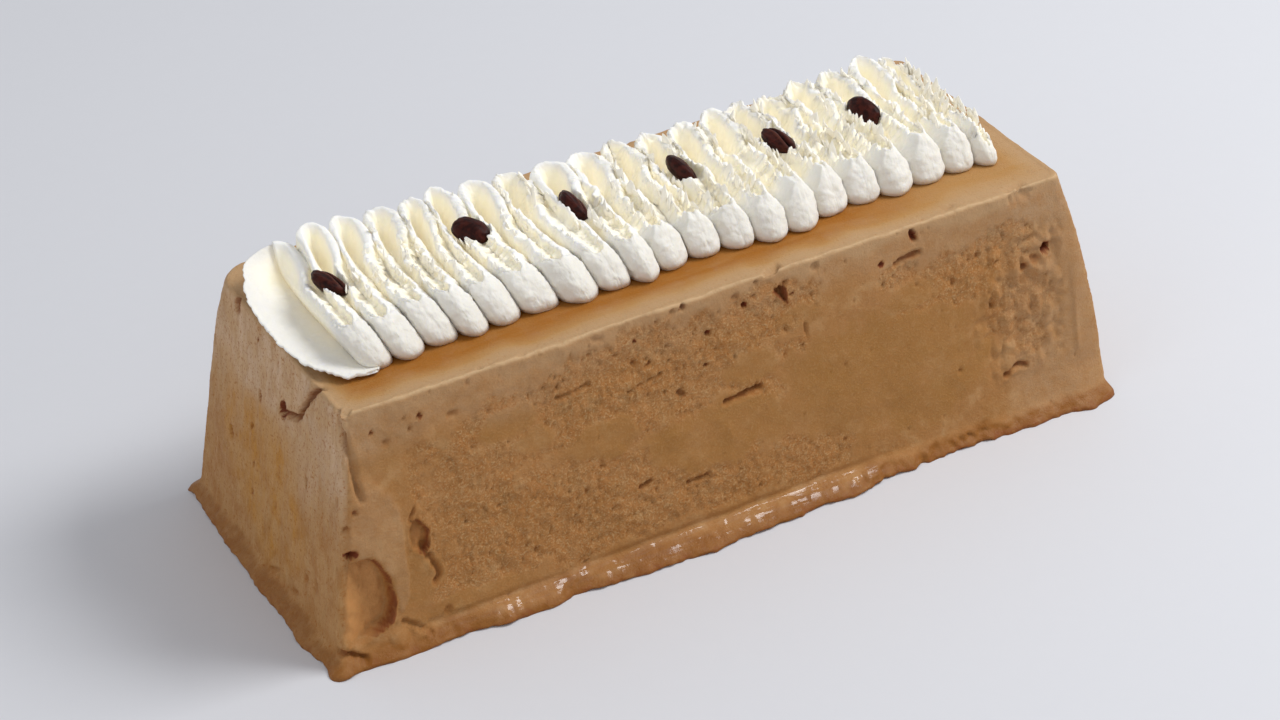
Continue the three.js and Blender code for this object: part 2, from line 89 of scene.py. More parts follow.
# Dents and holes of each face in mm: place along it, height, half sizes, depth, slant in
# degrees and softness of the edge, from 0.1 for broken to 1 for melted.
HOLLOWS = {
    "front": (
        (-115.8, 40.9, 1.7, 0.7, 1.0, 20, 0.4), (-115.3, 33.4, 1.9, 1.3, 2.4, 0, 0.35),
        (-112.4, 45.4, 0.9, 0.8, 0.9, 0, 0.5), (-96.6, 39.5, 0.6, 2.6, 1.1, -28, 0.4),
        (61.5, 70.4, 1.0, 2.0, 2.2, 20, 0.3), (50.6, 65.3, 0.9, 0.9, 1.6, 0, 0.3),
        (105.6, 53.1, 1.5, 1.7, 2.6, 10, 0.3), (98.1, 49.1, 1.3, 1.2, 1.4, 0, 0.5),
        (101.2, 50.8, 1.7, 1.6, 1.3, 0, 0.5), (22.1, 65.3, 0.6, 0.6, 1.2, 0, 0.3),
        (4.2, 70.0, 1.3, 1.2, 0.9, 0, 0.6), (7.0, 66.3, 0.8, 0.8, 1.4, 0, 0.3),
        (-4.7, 61.9, 0.7, 0.9, 1.2, 20, 0.3), (-6.1, 52.6, 0.7, 0.7, 1.1, 0, 0.4),
        (-23.6, 58.8, 1.3, 0.6, 1.0, 25, 0.4), (-27.0, 67.0, 0.6, 0.6, 0.9, 0, 0.4),
        (25.4, 53.4, 0.8, 3.0, 0.8, 8, 0.5), (-14.5, 46.5, 1.9, 1.1, 1.3, -38, 0.4),
        (-90.2, 7.1, 1.6, 1.4, 0.9, 0, 0.35), (-38.1, 71.3, 3.3, 1.1, 0.8, -14, 0.8),
        (-15.5, 71.9, 1.4, 2.6, 1.1, -38, 0.9), (-12.1, 72.6, 0.9, 0.9, 1.2, 0, 0.4),
        (29.6, 71.2, 1.8, 1.2, 0.9, 0, 0.5), (97.5, 72.0, 5.2, 3.2, 1.3, 8, 0.9),
        (-81.8, 64.2, 2.0, 0.9, 0.8, 0, 0.5), (-101.0, 62.0, 1.6, 1.2, 0.7, 0, 0.5),
        (-104.6, 66.2, 0.7, 0.7, 0.9, 0, 0.4), (-91.0, 66.8, 0.8, 0.7, 1.0, 0, 0.4),
    ),
    "left": (
        (-7.0, 56.6, 2.2, 2.4, 3.4, 8, 0.25), (24.9, 71.6, 2.2, 2.6, 2.6, 8, 0.5),
        (39.1, 53.8, 0.8, 1.7, 1.3, -16, 0.4), (8.2, 52.6, 0.9, 1.6, 1.3, -12, 0.4),
        (25.9, 32.1, 1.0, 1.9, 1.4, -24, 0.4), (13.4, 40.3, 0.7, 1.5, 1.1, 16, 0.4),
        (10.7, 68.4, 0.5, 0.9, 0.9, 0, 0.4), (11.3, 29.5, 0.6, 1.0, 1.0, 0, 0.4),
        (11.4, 20.8, 0.5, 1.3, 1.0, 0, 0.4), (-2.4, 67.7, 0.4, 3.6, 0.8, -8, 0.5),
        (-21.9, 42.6, 0.7, 1.8, 1.2, -14, 0.4), (-24.8, 14.1, 0.9, 1.8, 1.0, 0, 0.4),
        (-31.2, 15.9, 1.0, 2.0, 1.1, 0, 0.4), (-5.1, 5.4, 4.0, 0.8, 1.0, -24, 0.5),
        (-18.3, 6.1, 3.4, 0.8, 1.0, -24, 0.5),
    ),
    "right": (
        (12.0, 48.0, 2.0, 2.6, 1.6, 20, 0.5), (-21.0, 30.0, 1.4, 1.8, 1.3, 0, 0.5),
        (30.0, 66.0, 3.0, 2.0, 1.4, 0, 0.6),
    ),
    "back": (
        (62.0, 52.0, 4.0, 1.4, 1.6, 8, 0.4), (-28.0, 31.0, 2.2, 1.8, 1.5, 0, 0.5),
        (-84.0, 60.0, 1.6, 2.2, 1.7, 0, 0.4), (14.0, 72.8, 4.6, 2.4, 1.6, 0, 0.7),
        (96.0, 16.0, 5.0, 3.0, 1.5, 0, 0.6),
    ),
}

# Cracks and slots of each face in mm: points along it and up, half width and depth.
CRACKS = {
    "front": (
        (((-124.3, 7.2), (-121.8, 5.2), (-119.0, 4.4), (-115.6, 2.4)), 0.8, 2.0),
        (((-103.2, 8.6), (-101.0, 7.0), (-96.4, 3.4)), 0.6, 1.0),
        (((-93.8, 25.6), (-91.9, 21.8), (-91.2, 18.4), (-92.6, 16.7)), 0.8, 1.3),
        (((-1.0, 39.4), (3.0, 39.8), (9.7, 40.4)), 0.9, 1.9),
        (((-51.5, 57.8), (-47.0, 58.2), (-42.0, 58.8)), 0.7, 1.0),
        (((55.4, 63.8), (59.0, 64.4), (63.4, 64.7)), 0.8, 1.6),
        (((-14.4, 19.0), (-8.8, 19.4)), 0.7, 1.5), (((-29.2, 22.6), (-26.4, 23.5)), 0.8, 1.5),
        (((90.3, 17.0), (92.0, 18.4), (95.4, 18.9), (97.4, 18.0)), 0.8, 1.7),
        (((-30.0, 52.4), (-20.0, 54.6)), 0.5, 0.7),
    ),
    "left": (
        (
            ((-10.6, 57.0), (-13.4, 57.6), (-16.0, 59.3), (-20.1, 65.3), (-23.9, 70.4), (-27.3, 74.0)),
            1.0, 3.0,
        ),
    ),
    "back": (
        (((-60.0, 44.0), (-52.0, 46.5), (-46.0, 46.0)), 1.0, 1.6),
    ),
    "right": (
        (((-6.0, 70.0), (-2.0, 62.0), (1.0, 58.0)), 0.9, 1.5),
    ),
}

# Breaks of the long side: outline as places along it and up, depth in mm, the two places along
# it between which the floor falls to its full depth, its painted shade and the roughness of the floor.
BREAKS = (
    ((
        (-117.4, 32.4), (-113.9, 30.3), (-111.2, 30.9), (-109.0, 29.8), (-107.4, 26.8),
        (-105.6, 23.0), (-105.0, 19.0), (-104.6, 15.1), (-105.4, 12.0), (-106.4, 9.8),
        (-108.7, 8.4), (-113.4, 6.6), (-119.3, 5.8), (-121.6, 9.9), (-119.6, 22.0),
    ), 4.4, -121, -109, 0.1, 0.4),
    ((
        (-97.2, 37.6), (-95.4, 37.0), (-92.7, 33.0), (-93.1, 28.5), (-94.8, 26.5),
        (-97.8, 28.8), (-98.5, 32.6),
    ), 2.2, -101, -95, 0.45, 1.1),
    (((16.4, 67.6), (18.2, 68.6), (20.0, 67.9), (20.3, 63.0), (18.6, 64.8)), 2.8, 10, 16, 0.7, 0.2),
)

# The smear of pale skin that laps over the near corner, as places along the long side and up.
FLAP = (
    (-113.5, 55.0), (-109.5, 55.4), (-104.0, 52.0), (-100.4, 48.0), (-99.3, 41.5), (-99.5, 35.5),
    (-99.6, 26.3), (-99.4, 16.9), (-102.5, 10.6), (-104.4, 12.0), (-104.4, 20.0), (-107.0, 27.8),
    (-109.0, 30.6), (-113.5, 31.2), (-116.5, 34.0), (-114.5, 44.0),
)
FLAP_RISE = 0.5

# The groove that starts at the near top corner and runs down the long side, in mm.
GROOVE = (
    (-111.6, -38.4, 74.0), (-112.2, -39.6, 70.0), (-112.3, -41.6, 66.0), (-111.6, -42.9, 61.7),
    (-110.9, -43.5, 57.1), (-110.7, -44.0, 52.0), (-110.2, -44.4, 48.8),
)
GROOVE_HALF = 1.1
GROOVE_DEPTH = 1.9

# Scoops in the flat top beside its front edge: place, half sizes, depth in mm and slant.
SCOOPS = (
    (16.8, -40.4, 4.6, 1.5, 1.6, 26),
    (-110.6, -40.4, 1.6, 1.3, 1.4, 0),
    (-60.0, -41.2, 2.0, 0.8, 0.6, 10),
    (-72.0, -40.6, 1.4, 0.7, 0.5, -10),
    (75.0, -38.4, 2.6, 0.9, 0.7, 12),
    (97.0, -39.6, 5.4, 1.6, 0.9, 14),
)

# Puddled bulges of the foot: centre in plan, radius, how far they push out and how tall.
FOOT_BULGES = (
    (-125, -51.7, 8, 0.8, 9), (-60, -51.7, 22, 0.5, 6), (70, 51.7, 26, 1.0, 9), (116, -53, 8, 1.6, 10),
)

# Stretches of the front's foot in mm, as start, rise, end and fall: the wet bead, the crumbly
# ledge beyond it, and the glossy part of the bead.
BEAD = (-104, 10, 28, 30)
LEDGE = (25, 20, 82, 12)
GLOSS = (-98, 12, 36, 14)

# How far the puddled foot runs out at places along the front and across the left end, in mm.
FOOT_FRONT = (
    (-118, -110, -62, -55, -46, -33, -12, -2, 38, 50, 110, 116),
    (0.8, 1.4, 1.6, 0.0, 1.0, 2.8, 3.8, 2.4, 2.2, 0.0, 0.0, 0.6),
)
FOOT_LEFT = ((-46, -34, -15, 4, 22, 42), (1.2, 3.0, 2.7, 2.2, 1.8, 0.6))

# The broad fold of the right end beside the front: heights and how far it leans out, in mm.
FOLD_HEIGHTS = (0, 2, 6, 12, 18, 31, 43, 55, 66, 73.5)
FOLD_OUT = (1.4, 2.4, 3.8, 4.6, 4.8, 4.8, 3.7, 2.6, 0.9, 0)

# The thin ridge on the front where that fold starts, in mm.
RIDGE = (
    (112.3, -42.2, 69.6), (114.0, -43.7, 55.2), (114.4, -44.8, 43.6), (115.2, -45.9, 33.0),
    (115.5, -46.5, 27.1), (115.9, -47.4, 18.1),
)

# Lumps of the melted foot by the near corner: place along, up, radius and height in mm.
KNOBS = ((-105.0, 4.6, 3.2, 1.3), (-98.6, 4.2, 2.8, 1.0), (-121.5, 2.0, 2.6, 1.0))

# Porous patches of the long side, where the crust was pulled off: centre, half sizes, strength.
POROUS = (
    (-26, 56, 34, 15, 1.0), (-38, 21, 32, 15, 0.9), (-72, 27, 17, 17, 0.9), (-80, 47, 16, 12, 0.7),
    (24, 44, 8, 9, 0.9), (-3, 15, 13, 7, 0.8), (25, 13, 18, 8, 0.7), (14, 62, 18, 10, 0.9),
    (75, 53, 14, 9, 0.8), (66, 46, 12, 5, 0.9), (97, 36, 12, 15, 1.0), (90, 57, 12, 9, 0.8),
    (57, 60, 10, 4, 0.6),
)

# The warmer patch in the middle of the left end: centre and half sizes in mm.
OCHRE_PATCH = (6, 32, 27, 25)

# Half sizes in mm of the patch that the cream covers, from which the syrup runs out.
CREAM_HALF_WIDTH = 29.5
CREAM_HALF_LENGTH = 101

# Air pits: side, half its span in mm, number tried and their width over their height.
PITS = (
    ("front", 120, 2600, 1.0), ("left", 50, 1500, 0.5), ("right", 50, 240, 0.6), ("back", 120, 420, 1.0),
)

# The pits' radii in mm, as shape, scale and least of a gamma draw, the heights between which
# they lie, how far round a pit its vertices are looked for, and its chance on a whole crust.
PIT_RADII = (2.0, 0.09, 0.2)
PIT_HEIGHTS = (3, 73)
PIT_SEARCH = 2.5
PIT_CHANCE = 0.12

# Smooth caramel-brown smears of the long side: centre, half sizes, strength.
SMEARS = (
    (-67, 56, 9, 5, 0.9), (-59, 48, 7, 4, 0.8), (-38, 41, 12, 6, 0.95), (-3, 31, 24, 10, 1.0),
    (8, 47, 9, 5, 0.8), (36, 34, 22, 18, 1.0), (62, 30, 22, 20, 1.0), (24, 58, 7, 4, 0.6),
    (62, 52, 12, 4, 0.6), (-104, 62, 8, 8, 0.7), (-98, 20, 9, 8, 0.6), (-78, 8, 18, 3, 0.7),
    (110, 28, 6, 20, 0.4),
)

# The cream ribbon, piped to and fro, in mm: its height, how much its back rises and its first
# loop drops, the gap under it, where its first turn and loop lie and how far the next ones
# follow, and how wide and how much lower its tail is.
TURNS = 20
RUFFLE_HEIGHT = 12.3
BACK_RISE = 1.1
FIRST_LOOP_DROP = 2.8
GAP = 0.3
FIRST_TURN_X = -93.2
FIRST_LOOP_X = -88.3
PITCH = 10.11
TAIL_WIDTH = 5.2
TAIL_DROP = 2.6

# How far each front turn and back loop strays along the loaf and how far each reaches from the
# middle, in mm, and how torn the upper edge of each turn and loop is, from 0 to 1.
TURN_DRIFT = (
    0, -1.5, -0.5, -2.1, -2.7, -2.5, -0.3, 0.4, -1, -2,
    -1.7, -1.9, -2.5, -1.8, -0.9, -0.6, -0.8, 0.8, 1.1, 0,
)
LOOP_DRIFT = (
    0, -1.2, -1, -1.7, -3.7, -2.9, -3.8, -1.3, -0.2, 1.3,
    1.4, 1.1, 1.5, 0.9, -0.5, 0.2, 2.5, 3.5, 1.6, -3,
)
FRONT_REACH = (
    28.3, 28.8, 26.9, 28.3, 27.5, 26.9, 29.3, 27.9, 29.6, 27.3,
    26.7, 28.1, 30.2, 30, 26.5, 26.3, 27.9, 26.9, 26.4, 27.9,
)
BACK_REACH = (
    30.2, 30.3, 28.5, 27.5, 29.6, 27, 26.6, 24.3, 25, 26.3,
    25.4, 23.8, 26.5, 25.7, 25.7, 28.5, 27.9, 29.5, 25.8, 22,
)
TURN_TORN = (
    0.5, 0.6, 0.9, 1.0, 0.8, 0.9, 0.8, 0.5, 0.8, 0.9,
    0.8, 0.9, 0.6, 0.9, 0.9, 1.0, 0.9, 0.7, 0.8, 1.0,
)
LOOP_TORN = (
    0.05, 0.1, 0.35, 0.35, 0.3, 0.15, 1.0, 0.2, 0.4, 0.85,
    0.7, 0.6, 0.6, 0.85, 1.0, 0.7, 0.75, 0.4, 0.8, 1.0,
)

# The first turns, up to this one, are less torn than the rest, and by this factor.
CALM_TURNS = 7
CALM_FACTOR = 0.75

# The ribbon's form in mm: how deep its noses are, how far back the near and the far ones reach
# full height, how far they tuck in below, how far in the hoods behind do, how far these arch up,
# how far each turn leans to the left, and the troughs' height in front, midway and behind.
NOSE_DEPTH = 5.0
NOSE_SLOPE = 8.0
FAR_NOSE_SLOPE = 7.2
NOSE_UNDERCUT = 1.1
LOOP_SLOPE = 1.7
LOOP_ARCH = 0.9
LEAN = (
    5.2, 5.2, 5.2, 5.2, 4.8, 4.8, 4.6, 3.8, 3.4, 2.4,
    2.0, 1.6, 0.8, 0.2, 0.4, 0.4, 0.2, 0.2, 0.4, 0.6,
)
VALLEY = (6.2, 6.8, 4.2)

# The ribbon's edge in front and behind: half its thickness as a share of half a turn and its fall
# in mm. Then the share of half a turn where a hood's edge runs, and of the way back where it closes.
RIM_HALF = (0.13, 0.24)
RIM_DROP = (0.8, 1.3)
LOOP_SHARE = 0.23
LOOP_START = 0.83

# Lines over half a turn, the first and the last of them on the edge, and rows from front to back.
HALF_TURN_STEPS = 28
EDGE_LINES = (8, 17)
DEPTH_STEPS = 168

# The torn edge: spacing of its teeth and how deep in mm it is bitten down between them and by
# wide lumps. The slits: how far in mm below the edge they start, and how deep they are in front
# and midway, in the calm and in the torn turns, and behind.
TOOTH_PITCH = 1.9
TOOTH_DEPTH = 2.2
LUMP_DEPTH = 2.4
SLIT_TOP = 0.4
SLIT_FRONT = (1.9, 2.4)
SLIT_MIDDLE = (2.9, 3.6)
SLIT_BACK = 1.9

# Where the slit in each turn opens, as a share of the way back, and how wide it opens.
SLIT_START = (
    0.14, 0.14, 0.13, 0.17, 0.14, 0.13, 0.14, 0.1, 0.14, 0.16,
    0.17, 0.14, 0.17, 0.22, 0.18, 0.15, 0.15, 0.17, 0.16, 0.04,
)
SLIT_WIDTH = (
    0.46, 0.5, 0.54, 0.48, 0.5, 0.52, 0.48, 0.54, 0.52, 0.42,
    0.46, 0.52, 0.42, 0.3, 0.42, 0.5, 0.46, 0.42, 0.42, 0.46,
)

# The first sheet of cream, a wide spoon over the end of the loaf: its ends and its root, how far
# its last end curls in, its width, half length and middle in mm, and its steps both ways.
SHEET_FRONT_X = -96.0
SHEET_LOOP_X = -99.0
SHEET_CURL = 5.2
SHEET_ROOT_X = -93.5
SHEET_WIDTH = 17.3
SHEET_HALF_LENGTH = 28.4
SHEET_CENTRE_Y = -1.2
SHEET_STEPS = (150, 60)

# Heights in mm of the sheet's rim in front, midway and behind, how far its tip drops, the height
# of its floor, and its thickness at the root and at the rim.
SHEET_RIM = (1.8, 5.4, 10.8)
SHEET_TIP_DROP = 1.5
SHEET_FLOOR = 1.4
SHEET_THICK = (1.3, 0.8)

# The torn leaves: thickness, width and height for a size of 1, how far in radians they turn at
# most about each axis, and how far in mm they keep from a bean's middle.
FLAKE_SHAPE = (0.22, 0.66, 1.0)
FLAKE_TURNS = ((-0.45, 0.45), (-0.6, 0.35), (-0.5, 0.4))
FLAKE_KEEP_OFF = 7.5

# The leaves in front of each bean: first and last place along it in mm, and how many.
BEAN_FLAKES = (-3.2, 4.6, 6)

# Where each bean sits: along, across, above the loaf top in mm, then heading of its long
# axis, pitch of its front end and roll in degrees.
BEAN_SEATS = (
    (-93.6, 2.6, 10.6, -66, 12, 150),
    (-50.4, 5.2, 10.8, -58, 6, 20),
    (-20.0, 2.6, 10.6, -84, 14, 130),
    (14.6, 3.6, 10.6, -80, 12, 125),
    (45.4, 2.4, 11.0, -78, 8, 168),
    (74.3, 3.2, 10.6, -76, 10, 60),
)

# How much flatter a bean's creased side is than its back, and in mm the depth of the crease, the
# height of its lips, the room the cream leaves round a bean and the dish that it lies in.
BEAN_FLAT = 0.55
CREASE_DEPTH = 1.7
CREASE_LIP = 0.35
BEAN_ROOM = 0.25
BEAN_DISH = 1.8

# The crease as shares of a bean's half width: how far it sways and how fast, its width and how
# much that changes, and how far out its lips stand and how wide they are.
CREASE_SWAY = (0.14, 2.6)
CREASE_WIDTH = (0.13, 0.05)
LIP_PLACE = (0.34, 0.17)

# The camera stands where the picture's perspective puts it: its place and aim in mm, the
# tilt of the horizon in degrees and the lens for a 36 mm sensor.
CAMERA_AT = (-360.413, -670.191, 532.397)
CAMERA_AIM = (-8.012, -9.178, 35.714)
CAMERA_ROLL = -2.47
CAMERA_LENS = 89.908
CAMERA_SENSOR = 36

# The stage: size of the floor in metres, place, aim and size of the square lights in metres,
# the room's own light, and the colour of the light inside the folds of the cream.
FLOOR_SIZE = 6
KEY_LIGHT = ((0.78, -0.3, 1.04), (0, 0, 0.04), 0.55)
FILL_LIGHT = ((-1.25, -0.5, 0.42), (0, 0, 0.03), 0.8)
ROOM_COLOUR = "#E8EAEF"
ROOM_STRENGTH = 0.6
FOLD_GLOW = "#FFEFCC"


def linear(code):
    """The linear colour of an sRGB hex value."""
    parts = [int(code[i:i + 2], 16) / 255 for i in (1, 3, 5)]
    return tuple(p / 12.92 if p <= 0.04045 else ((p + 0.055) / 1.055) ** 2.4 for p in parts)


def smooth(t):
    """Eases from 0 to 1 while t runs from 0 to 1."""
    c = np.clip(t, 0.0, 1.0)
    return c * c * (3.0 - 2.0 * c)


def ease(t, start, run):
    """Eases from 0 to 1 from a start on, over a run."""
    return smooth((t - start) / run)


def span(t, start, rise, end, fall):
    """Eases up over the rise behind a start, and down again over the fall behind an end."""
    return ease(t, start, rise) * (1 - ease(t, end, fall))


def mix(a, b, t):
    """The value at a share of the way from one to the other."""
    return a + (b - a) * t


def draw(i, j, k):
    """A repeatable draw between 0 and 1 for each cell of a lattice."""
    a, b, c, stretch = DRAW_FACTORS
    wave = np.sin(i * a + j * b + k * c) * stretch
    return wave - np.floor(wave)


def lumps(x, y, z, size):
    """Smooth noise from -1 to 1 whose lumps have the given size in mm."""
    x, y, z = np.broadcast_arrays(np.asarray(x, float), y, z)
    px, py, pz = x / size, y / size, z / size
    i, j, k = np.floor(px), np.floor(py), np.floor(pz)
    fx, fy, fz = smooth(px - i), smooth(py - j), smooth(pz - k)
    layers = []
    for c in (0, 1):
        rows = [mix(draw(i, j + b, k + c), draw(i + 1, j + b, k + c), fx) for b in (0, 1)]
        layers.append(mix(rows[0], rows[1], fy))
    return 2.0 * mix(layers[0], layers[1], fz) - 1.0


def layered(x, y, z, *layers):
    """Noise in layers, each given by its height and the size of its lumps in mm."""
    return sum(height * lumps(x, y, z, size) for height, size in layers)


def only(piece):
    """Makes a piece the one selected and active object."""
    bpy.ops.object.select_all(action="DESELECT")
    piece.select_set(True)
    bpy.context.view_layer.objects.active = piece


def named(name):
    """Names the object that was just made."""
    piece = bpy.context.object
    piece.name = name
    piece.data.name = name
    return piece


def grid(name, columns, rows):
    """A flat grid and the column and row of each of its vertices."""
    bpy.ops.object.select_all(action="DESELECT")
    bpy.ops.mesh.primitive_grid_add(x_subdivisions=columns, y_subdivisions=rows, size=2)
    piece = named(name)
    co = points(piece)
    column = np.rint((co[:, 0] + 1) / 2 * columns).astype(int)
    row = np.rint((co[:, 1] + 1) / 2 * rows).astype(int)
    return piece, column, row


def points(piece):
    """The places of all vertices, one row each."""
    co = np.empty(len(piece.data.vertices) * 3)
    piece.data.vertices.foreach_get("co", co)
    return co.reshape(-1, 3)


def place(piece, x, y, z):
    """Moves the vertices to places in mm."""
    co = np.stack([x, y, z], axis=1) * MM
    piece.data.vertices.foreach_set("co", co.ravel())
    piece.data.update()


def paint(piece, **numbers):
    """Keeps numbers for each vertex, or one for all, which the material reads by name."""
    count = len(piece.data.vertices)
    for name, values in numbers.items():
        layer = piece.data.attributes.new(name, "FLOAT", "POINT")
        layer.data.foreach_set("value", np.full(count, values, np.float32))


def close(piece):
    """Joins the seams, fills the holes and turns the faces outwards."""
    only(piece)
    bpy.ops.object.mode_set(mode="EDIT")
    bpy.ops.mesh.select_all(action="SELECT")
    bpy.ops.mesh.remove_doubles(threshold=JOIN_WITHIN)
    bpy.ops.mesh.fill_holes(sides=0)
    bpy.ops.mesh.select_all(action="SELECT")
    bpy.ops.mesh.normals_make_consistent(inside=False)
    bpy.ops.object.mode_set(mode="OBJECT")
    bpy.ops.object.shade_smooth()


def swell(piece, name, lumps_of, group, **settings):
    """Raises and sinks the surface by a cloud pattern of a size and height in mm."""
    size, height = lumps_of
    texture = bpy.data.textures.new(name, "CLOUDS")
    texture.noise_scale = size * MM
    for key, value in settings.items():
        setattr(texture, key, value)
    only(piece)
    relief = piece.modifiers.new(name, "DISPLACE")
    relief.texture = texture
    relief.texture_coords = "LOCAL"
    relief.strength = height * MM
    relief.vertex_group = group
    bpy.ops.object.modifier_apply(modifier=name)


def weigh(piece, name, values):
    """A vertex group whose weights limit where the relief shows."""
    group = piece.vertex_groups.new(name=name)
    levels = np.clip(np.rint(np.asarray(values) * WEIGHT_STEPS), 0, WEIGHT_STEPS).astype(int)
    for level in range(1, WEIGHT_STEPS + 1):
        members = np.nonzero(levels == level)[0]
        if len(members):
            group.add(members.tolist(), level / WEIGHT_STEPS, "REPLACE")


# The loaf.

def wall_columns():
    """Side, corner flag, share of the straight run and turn of the corner for each column."""
    side, corner, share, turn = [], [], [], []
    for s, name in enumerate(SIDES):
        steps = SIDE_STEPS[name]
        side += [s] * (steps + CORNER_STEPS)
        corner += [False] * steps + [True] * CORNER_STEPS
        share += [i / steps for i in range(steps)] + [0.0] * CORNER_STEPS
        turn += [0.0] * steps + [i / CORNER_STEPS * math.pi / 2 for i in range(CORNER_STEPS)]
    return np.array(side), np.array(corner), np.array(share), np.array(turn)


def wall_rings(height):
    """Height, inset, share of wall relief and share of top for each ring, from the top down."""
    rings = [(height, inset, 0.0, 1.0) for inset in TOP_INSETS]
    for angle in EDGE_TURNS:
        swing = math.radians(angle)
        rings.append((
            height - EDGE_RADIUS * (1 - math.cos(swing)), EDGE_RADIUS * (1 - math.sin(swing)),
            0.3 + 0.7 * math.sin(swing), math.cos(swing),
        ))
    start = height - EDGE_RADIUS
    for i in range(WALL_RINGS + 1):
        rings.append((mix(start, MELT_HEIGHT, i / WALL_RINGS), 0.0, 1.0, 0.0))
    rings += [(z, 0.0, 1.0, 0.0) for z in FOOT_RINGS]
    return np.array(rings)


def plan(settings, z):
    """Half length and half width of the loaf at a height, and its rounded far corner."""
    height = settings.height / MM
    foot = np.array([settings.foot_length, settings.foot_width]) / MM / 2
    top = np.array([settings.top_length, settings.top_width]) / MM / 2
    rise = z / height
    melt = MELT_WIDTH * (1 - (1 - np.minimum(1, z / MELT_HEIGHT)) ** 2)
    half = [foot[n] - melt - (foot[n] - top[n] - MELT_WIDTH) * rise for n in (0, 1)]
    return half[0], half[1], mix(CORNER_RADIUS, MELTED_CORNER_RADIUS, rise ** 3)


def wall_points(settings, columns, ring):
    """Plan places and outward directions of all columns on rings given as arrays."""
    side, corner, share, turn = columns
    z, inset = ring
    half_x, half_y, melted = plan(settings, z)
    hx, hy = half_x - inset, half_y - inset
    swing = side * math.pi / 2 + turn
    ox, oy = np.sin(swing), -np.cos(swing)
    flat = side * math.pi / 2
    fx, fy = np.rint(np.sin(flat)), -np.rint(np.cos(flat))
    radius_after = np.where(side == 2, melted, CORNER_RADIUS)
    radius_before = np.where(side == 3, melted, CORNER_RADIUS)
    along = np.where(side % 2 == 0, hx, hy)
    out = np.where(side % 2 == 0, hy, hx)
    run = mix(-(along - radius_before), along - radius_after, share)
    sx = np.where((side == 0) | (side == 1), 1, -1)
    sy = np.where((side == 1) | (side == 2), 1, -1)
    x = np.where(corner, sx * (hx - radius_after) + ox * radius_after, out * fx - run * fy)
    y = np.where(corner, sy * (hy - radius_after) + oy * radius_after, out * fy + run * fx)
    return x, y, ox, oy


def facing(side, ox, oy):
    """How squarely the wall faces a side."""
    return {"front": -oy, "right": ox, "back": oy, "left": -ox}[side]


def squarely(out):
    """From 0 to 1 where the wall faces a side, told by its outward direction."""
    return smooth(out * 2 - 0.6)


def each(table):
    """The rows of a table that is kept by side, each behind its side."""
    return [(side, *row) for side, rows in table.items() for row in rows]


def oval(a, b, half, rise, slant):
    """How far out a place lies in a slanted oval: 0 in its middle, 1 on its edge."""
    turn = math.radians(slant)
    p = a * math.cos(turn) + b * math.sin(turn)
    q = b * math.cos(turn) - a * math.sin(turn)
    return np.hypot(p / half, q / rise)


def hollows(x, y, z, ox, oy):
    """Depth in mm of the dents and cracks in the walls, and the painted shade inside them."""
    depth, shade = np.zeros_like(z), np.zeros_like(z)
    for side, at, up, half, rise, deep, slant, soft in each(HOLLOWS):
        along = x if side in ("front", "back") else y
        reach = max(half, rise) * 1.5
        near = (np.abs(along - at) < reach) & (np.abs(z - up) < reach)
        near &= facing(side, ox, oy) > 0.6
        if not near.any():
            continue
        a, b = along[near] - at, z[near] - up
        edge = oval(a, b, half, rise, slant) + 0.28 * lumps(a, b, at, 1.3)
        depth[near] += deep * smooth((1 - edge) / soft)
        # Painted shade inside a dent, darker the deeper it is for its size.
        dark = smooth((1.3 - edge) / soft) * min(1, 1.3 * deep / (half + rise))
        shade[near] = np.maximum(shade[near], dark)
    for side, line, half, deep in each(CRACKS):
        along = x if side in ("front", "back") else y
        wall = facing(side, ox, oy) > 0.15
        flat = [(a, 0.0, b) for a, b in line]
        wander = 0.45 * half * lumps(along[wall], z[wall], 3, 1.5)
        gap = distance(along[wall], 0.0, z[wall], flat) + wander
        depth[wall] += crack(gap, half, deep)
        # Painted shade inside a crack, darker the deeper it is, up to a limit.
        shade[wall] = np.maximum(shade[wall], smooth(1.7 - gap / half) * min(0.68, deep / 2.4))
    near = (x < -100) & (y < -30) & (z > 44)
    spot = x[near], y[near], z[near]
    gap = distance(*spot, GROOVE) + layered(*spot, (0.4, 2.0), (0.5, 5.0))
    uneven = 0.75 + 0.45 * lumps(*spot, 4.0)
    depth[near] += uneven * crack(gap, GROOVE_HALF, GROOVE_DEPTH)
    return depth, shade


def crack(gap, half, deep):
    """Depth in mm across a crack with a low lip along both sides."""
    return deep * smooth(1.25 - gap / half) - 0.25 * np.exp(-((gap / half - 1.9) / 0.5) ** 2)


def distance(x, y, z, line):
    """Distance in mm from places to a bent line."""
    best = np.full(np.broadcast(x, y, z).shape, 1e9)
    for start, end in zip(line, line[1:]):
        step = np.subtract(end, start)
        offset = (x - start[0], y - start[1], z - start[2])
        t = np.clip(sum(o * s for o, s in zip(offset, step)) / (step @ step + 1e-9), 0, 1)
        best = np.minimum(best, np.sqrt(sum((o - t * s) ** 2 for o, s in zip(offset, step))))
    return best


def within(outline, along, up):
    """Whether places on a wall lie inside an outline, and how far in mm they are from it."""
    inside = np.zeros(along.shape, bool)
    ring = list(outline) + [outline[0]]
    for (a0, z0), (a1, z1) in zip(ring, ring[1:]):
        crosses = (z0 > up) != (z1 > up)
        inside ^= crosses & (along < (a1 - a0) * (up - z0) / (z1 - z0 + 1e-9) + a0)
    return inside, distance(along, 0.0, up, [(a, 0.0, b) for a, b in ring])


